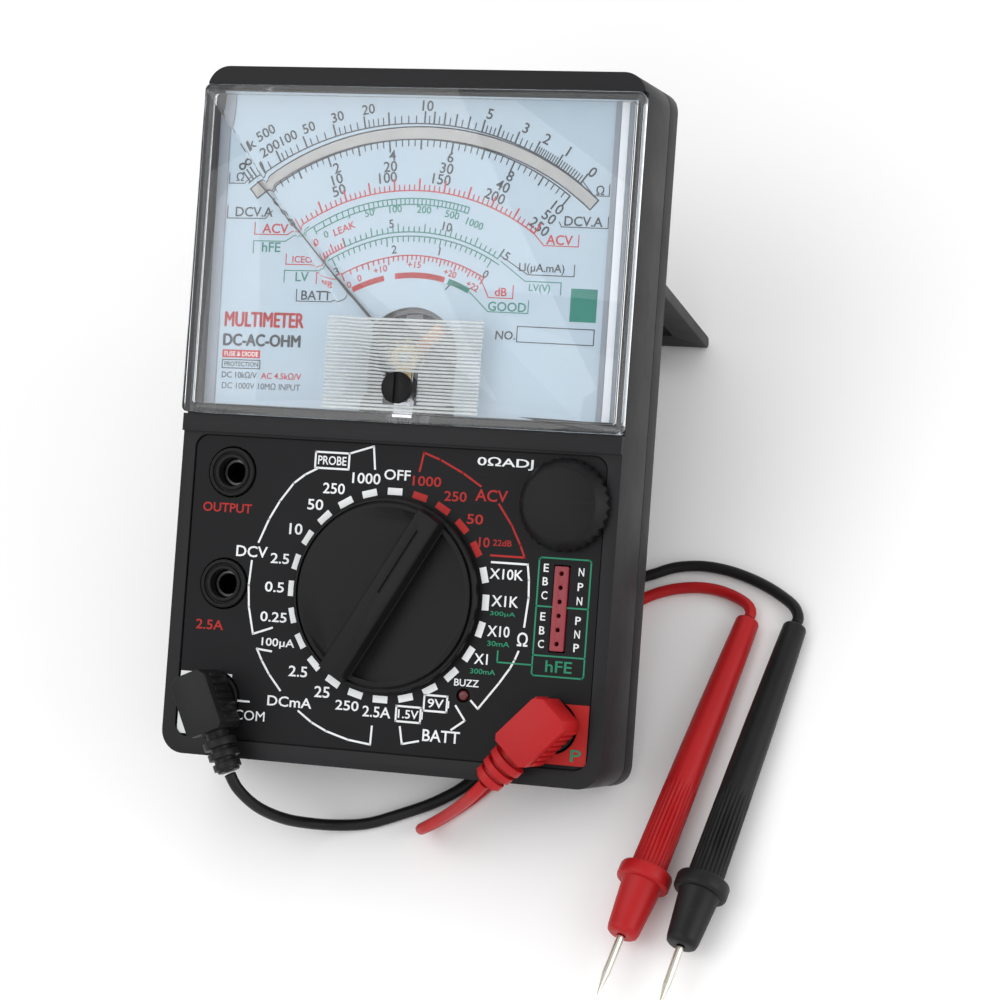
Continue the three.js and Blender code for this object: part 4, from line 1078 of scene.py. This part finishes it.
class MULTIMETER_OT_controls(bpy.types.Operator):
    """Range selector and ohm adjuster"""
    bl_idname = "multimeter.controls"
    bl_label = "Controls"

    def execute(self, context):
        softened("selector_knob", "selector_knob_finished", "selector", "knob", 0.3, 3)
        softened("ohm_adjust_knob", "ohm_knob_finished", "ohm_adjuster", "knob", 0.18, 2, 40, 40)
        for node, finish in (("switch_rotor", "white_part"), ("wiper_contact", "brass"),
                             ("detent_spring", "steel"), ("ohm_adjust_pot", "steel")):
            finish_node(node, finish)
        return {"FINISHED"}


class MULTIMETER_OT_inside(bpy.types.Operator):
    """Movement, board and cells"""
    bl_idname = "multimeter.inside"
    bl_label = "Inside"

    def execute(self, context):
        finishes = {
            "magnet_yoke": "dark_steel_and_bore_shade", "movement_core": "dark_steel_and_bore_shade", "moving_coil": "copper",
            "pivot_staff": "steel", "pointer": "pointer", "hairspring": "brass",
            "movement_bridge": "steel", "zero_corrector": "brass", "main_board": "board",
            "buzzer": "knob", "fuse": "steel", "pen_cell_upper": "cell", "pen_cell_lower": "cell",
            "block_battery": "cell", "battery_snap": "knob",
        }
        for node, finish in finishes.items():
            finish_node(node, finish)
        return {"FINISHED"}


class MULTIMETER_OT_stand(bpy.types.Operator):
    """Tilt stand and its pin"""
    bl_idname = "multimeter.stand"
    bl_label = "Stand"

    def execute(self, context):
        softened("stand", "tilt_stand", "stand", "case", 0.4, 2)
        finish_node("stand_hinge_pin", "steel")
        return {"FINISHED"}


class MULTIMETER_OT_plugs(bpy.types.Operator):
    """Banana plugs of both leads"""
    bl_idname = "multimeter.plugs"
    bl_label = "Plugs"

    def execute(self, context):
        for colour, lead in LEADS.items():
            boot = softened(colour + "_plug_boot", colour + "_boot", colour + "_plug", "lead_" + colour, 0.55,
                            3)
            place = self.place(lead)
            boot.data.transform(place @ Matrix.Diagonal((1, lead["narrowed"], 1, 1)) @ place.inverted())
            finish_node(colour + "_banana_pin", "brass")
            self.grip(colour, lead["narrowed"], place)
        return {"FINISHED"}

    def place(self, lead):
        """The boot's own frame: its jack, with +X along its tail."""
        turn = Matrix.Rotation(math.radians(lead["tail"]), 4, "Z")
        return PANEL @ Matrix.Translation(Vector((*lead["jack"], 0)) * MM) @ turn

    def grip(self, colour, narrowed, place):
        """Upright ribs on both sides of the boot."""
        ribs = empty_mesh(colour + "_grip")
        half_width = BOOT["half_width"] * narrowed
        for i in range(BOOT["ribs"]):
            for side in (-1, 1):
                cuboid((BOOT["first"] + i * BOOT["pitch"], side * half_width, 5.4), (0.8, 0.7, 7.6))
        object_mode()
        round_edges(ribs, 0.14)
        settle(ribs, colour + "_boot_grip", colour + "_plug", "lead_" + colour, place)


class MULTIMETER_OT_probes(bpy.types.Operator):
    """Probe handles with fluted grips, and their needles"""
    bl_idname = "multimeter.probes"
    bl_label = "Probes"

    def execute(self, context):
        for colour, lead in LEADS.items():
            handle = self.handle()
            settle(handle, colour + "_handle", BODY, "lead_" + colour,
                   self.place(*lead["probe"]), (colour + "_probe_handle",), 40)
            finish_node(colour + "_probe_needle", "needle_steel")
        return {"FINISHED"}

    def place(self, end, collar):
        """Cord end and collar both touch the table."""
        start = Vector((end[0], end[1], PROBE["top"]))
        slope = (PROBE["collar"] - PROBE["top"]) / ((PROBE["body"] + PROBE["collar_end"]) / 2)
        flat = Vector((collar[0] - end[0], collar[1] - end[1], 0)).normalized()
        along = flat * math.cos(slope) + Vector((0, 0, math.sin(slope)))
        turn = Vector((0, 0, 1)).rotation_difference(along).to_matrix().to_4x4()
        return Matrix.Translation(start * MM) @ turn

    def handle(self):
        """Rings stacked along the handle, with every third point drawn in where it is fluted."""
        obj = empty_mesh("handle")
        level, radius = HANDLE_PROFILE[0]
        bpy.ops.mesh.primitive_circle_add(vertices=HANDLE_SIDES, radius=radius, fill_type="NGON")
        for height, wide in HANDLE_PROFILE[1:]:
            bpy.ops.mesh.extrude_region_move(TRANSFORM_OT_translate={"value": (0, 0, height - level)})
            factor = wide / radius
            bpy.ops.transform.resize(value=(factor, factor, 1), center_override=(0, 0, height))
            level, radius = height, wide
        bpy.ops.mesh.select_all(action="SELECT")
        bpy.ops.mesh.normals_make_consistent(inside=False)
        object_mode()
        for vertex in obj.data.vertices:
            x, y, z = vertex.co
            if FLUTES["from"] < z < FLUTES["to"]:
                turn = round(math.atan2(y, x) / (2 * math.pi) * HANDLE_SIDES)
                if turn % FLUTES["every"] == 0:
                    vertex.co.x *= FLUTES["depth"]
                    vertex.co.y *= FLUTES["depth"]
        return obj


# ------------------------------------------------------------------ panel and registration
STEPS = (MULTIMETER_OT_stage, MULTIMETER_OT_cords, MULTIMETER_OT_case, MULTIMETER_OT_window,
         MULTIMETER_OT_dial, MULTIMETER_OT_panel, MULTIMETER_OT_controls, MULTIMETER_OT_inside,
         MULTIMETER_OT_stand, MULTIMETER_OT_plugs, MULTIMETER_OT_probes)


class MULTIMETER_PT_sidebar(bpy.types.Panel):
    """Lists the pieces of the multimeter"""
    bl_idname = "MULTIMETER_PT_sidebar"
    bl_label = "Multimeter"
    bl_space_type = "VIEW_3D"
    bl_region_type = "UI"
    bl_category = "Multimeter"

    def draw(self, context):
        for group in (context.scene.multimeter_finish, context.scene.multimeter_studio):
            for name in group.__annotations__:
                self.layout.prop(group, name)
        for step in STEPS:
            self.layout.operator(step.bl_idname)


CLASSES = (MultimeterFinish, MultimeterStudio, *STEPS, MULTIMETER_PT_sidebar)


def register():
    for item in CLASSES:
        bpy.utils.register_class(item)
    bpy.types.Scene.multimeter_finish = bpy.props.PointerProperty(type=MultimeterFinish)
    bpy.types.Scene.multimeter_studio = bpy.props.PointerProperty(type=MultimeterStudio)


def unregister():
    del bpy.types.Scene.multimeter_studio
    del bpy.types.Scene.multimeter_finish
    for item in reversed(CLASSES):
        bpy.utils.unregister_class(item)


def main():
    register()
    MATERIALS.update(make_materials())
    for step in STEPS:
        family, name = step.bl_idname.split(".")
        getattr(getattr(bpy.ops, family), name)()


if __name__ == "__main__":
    main()
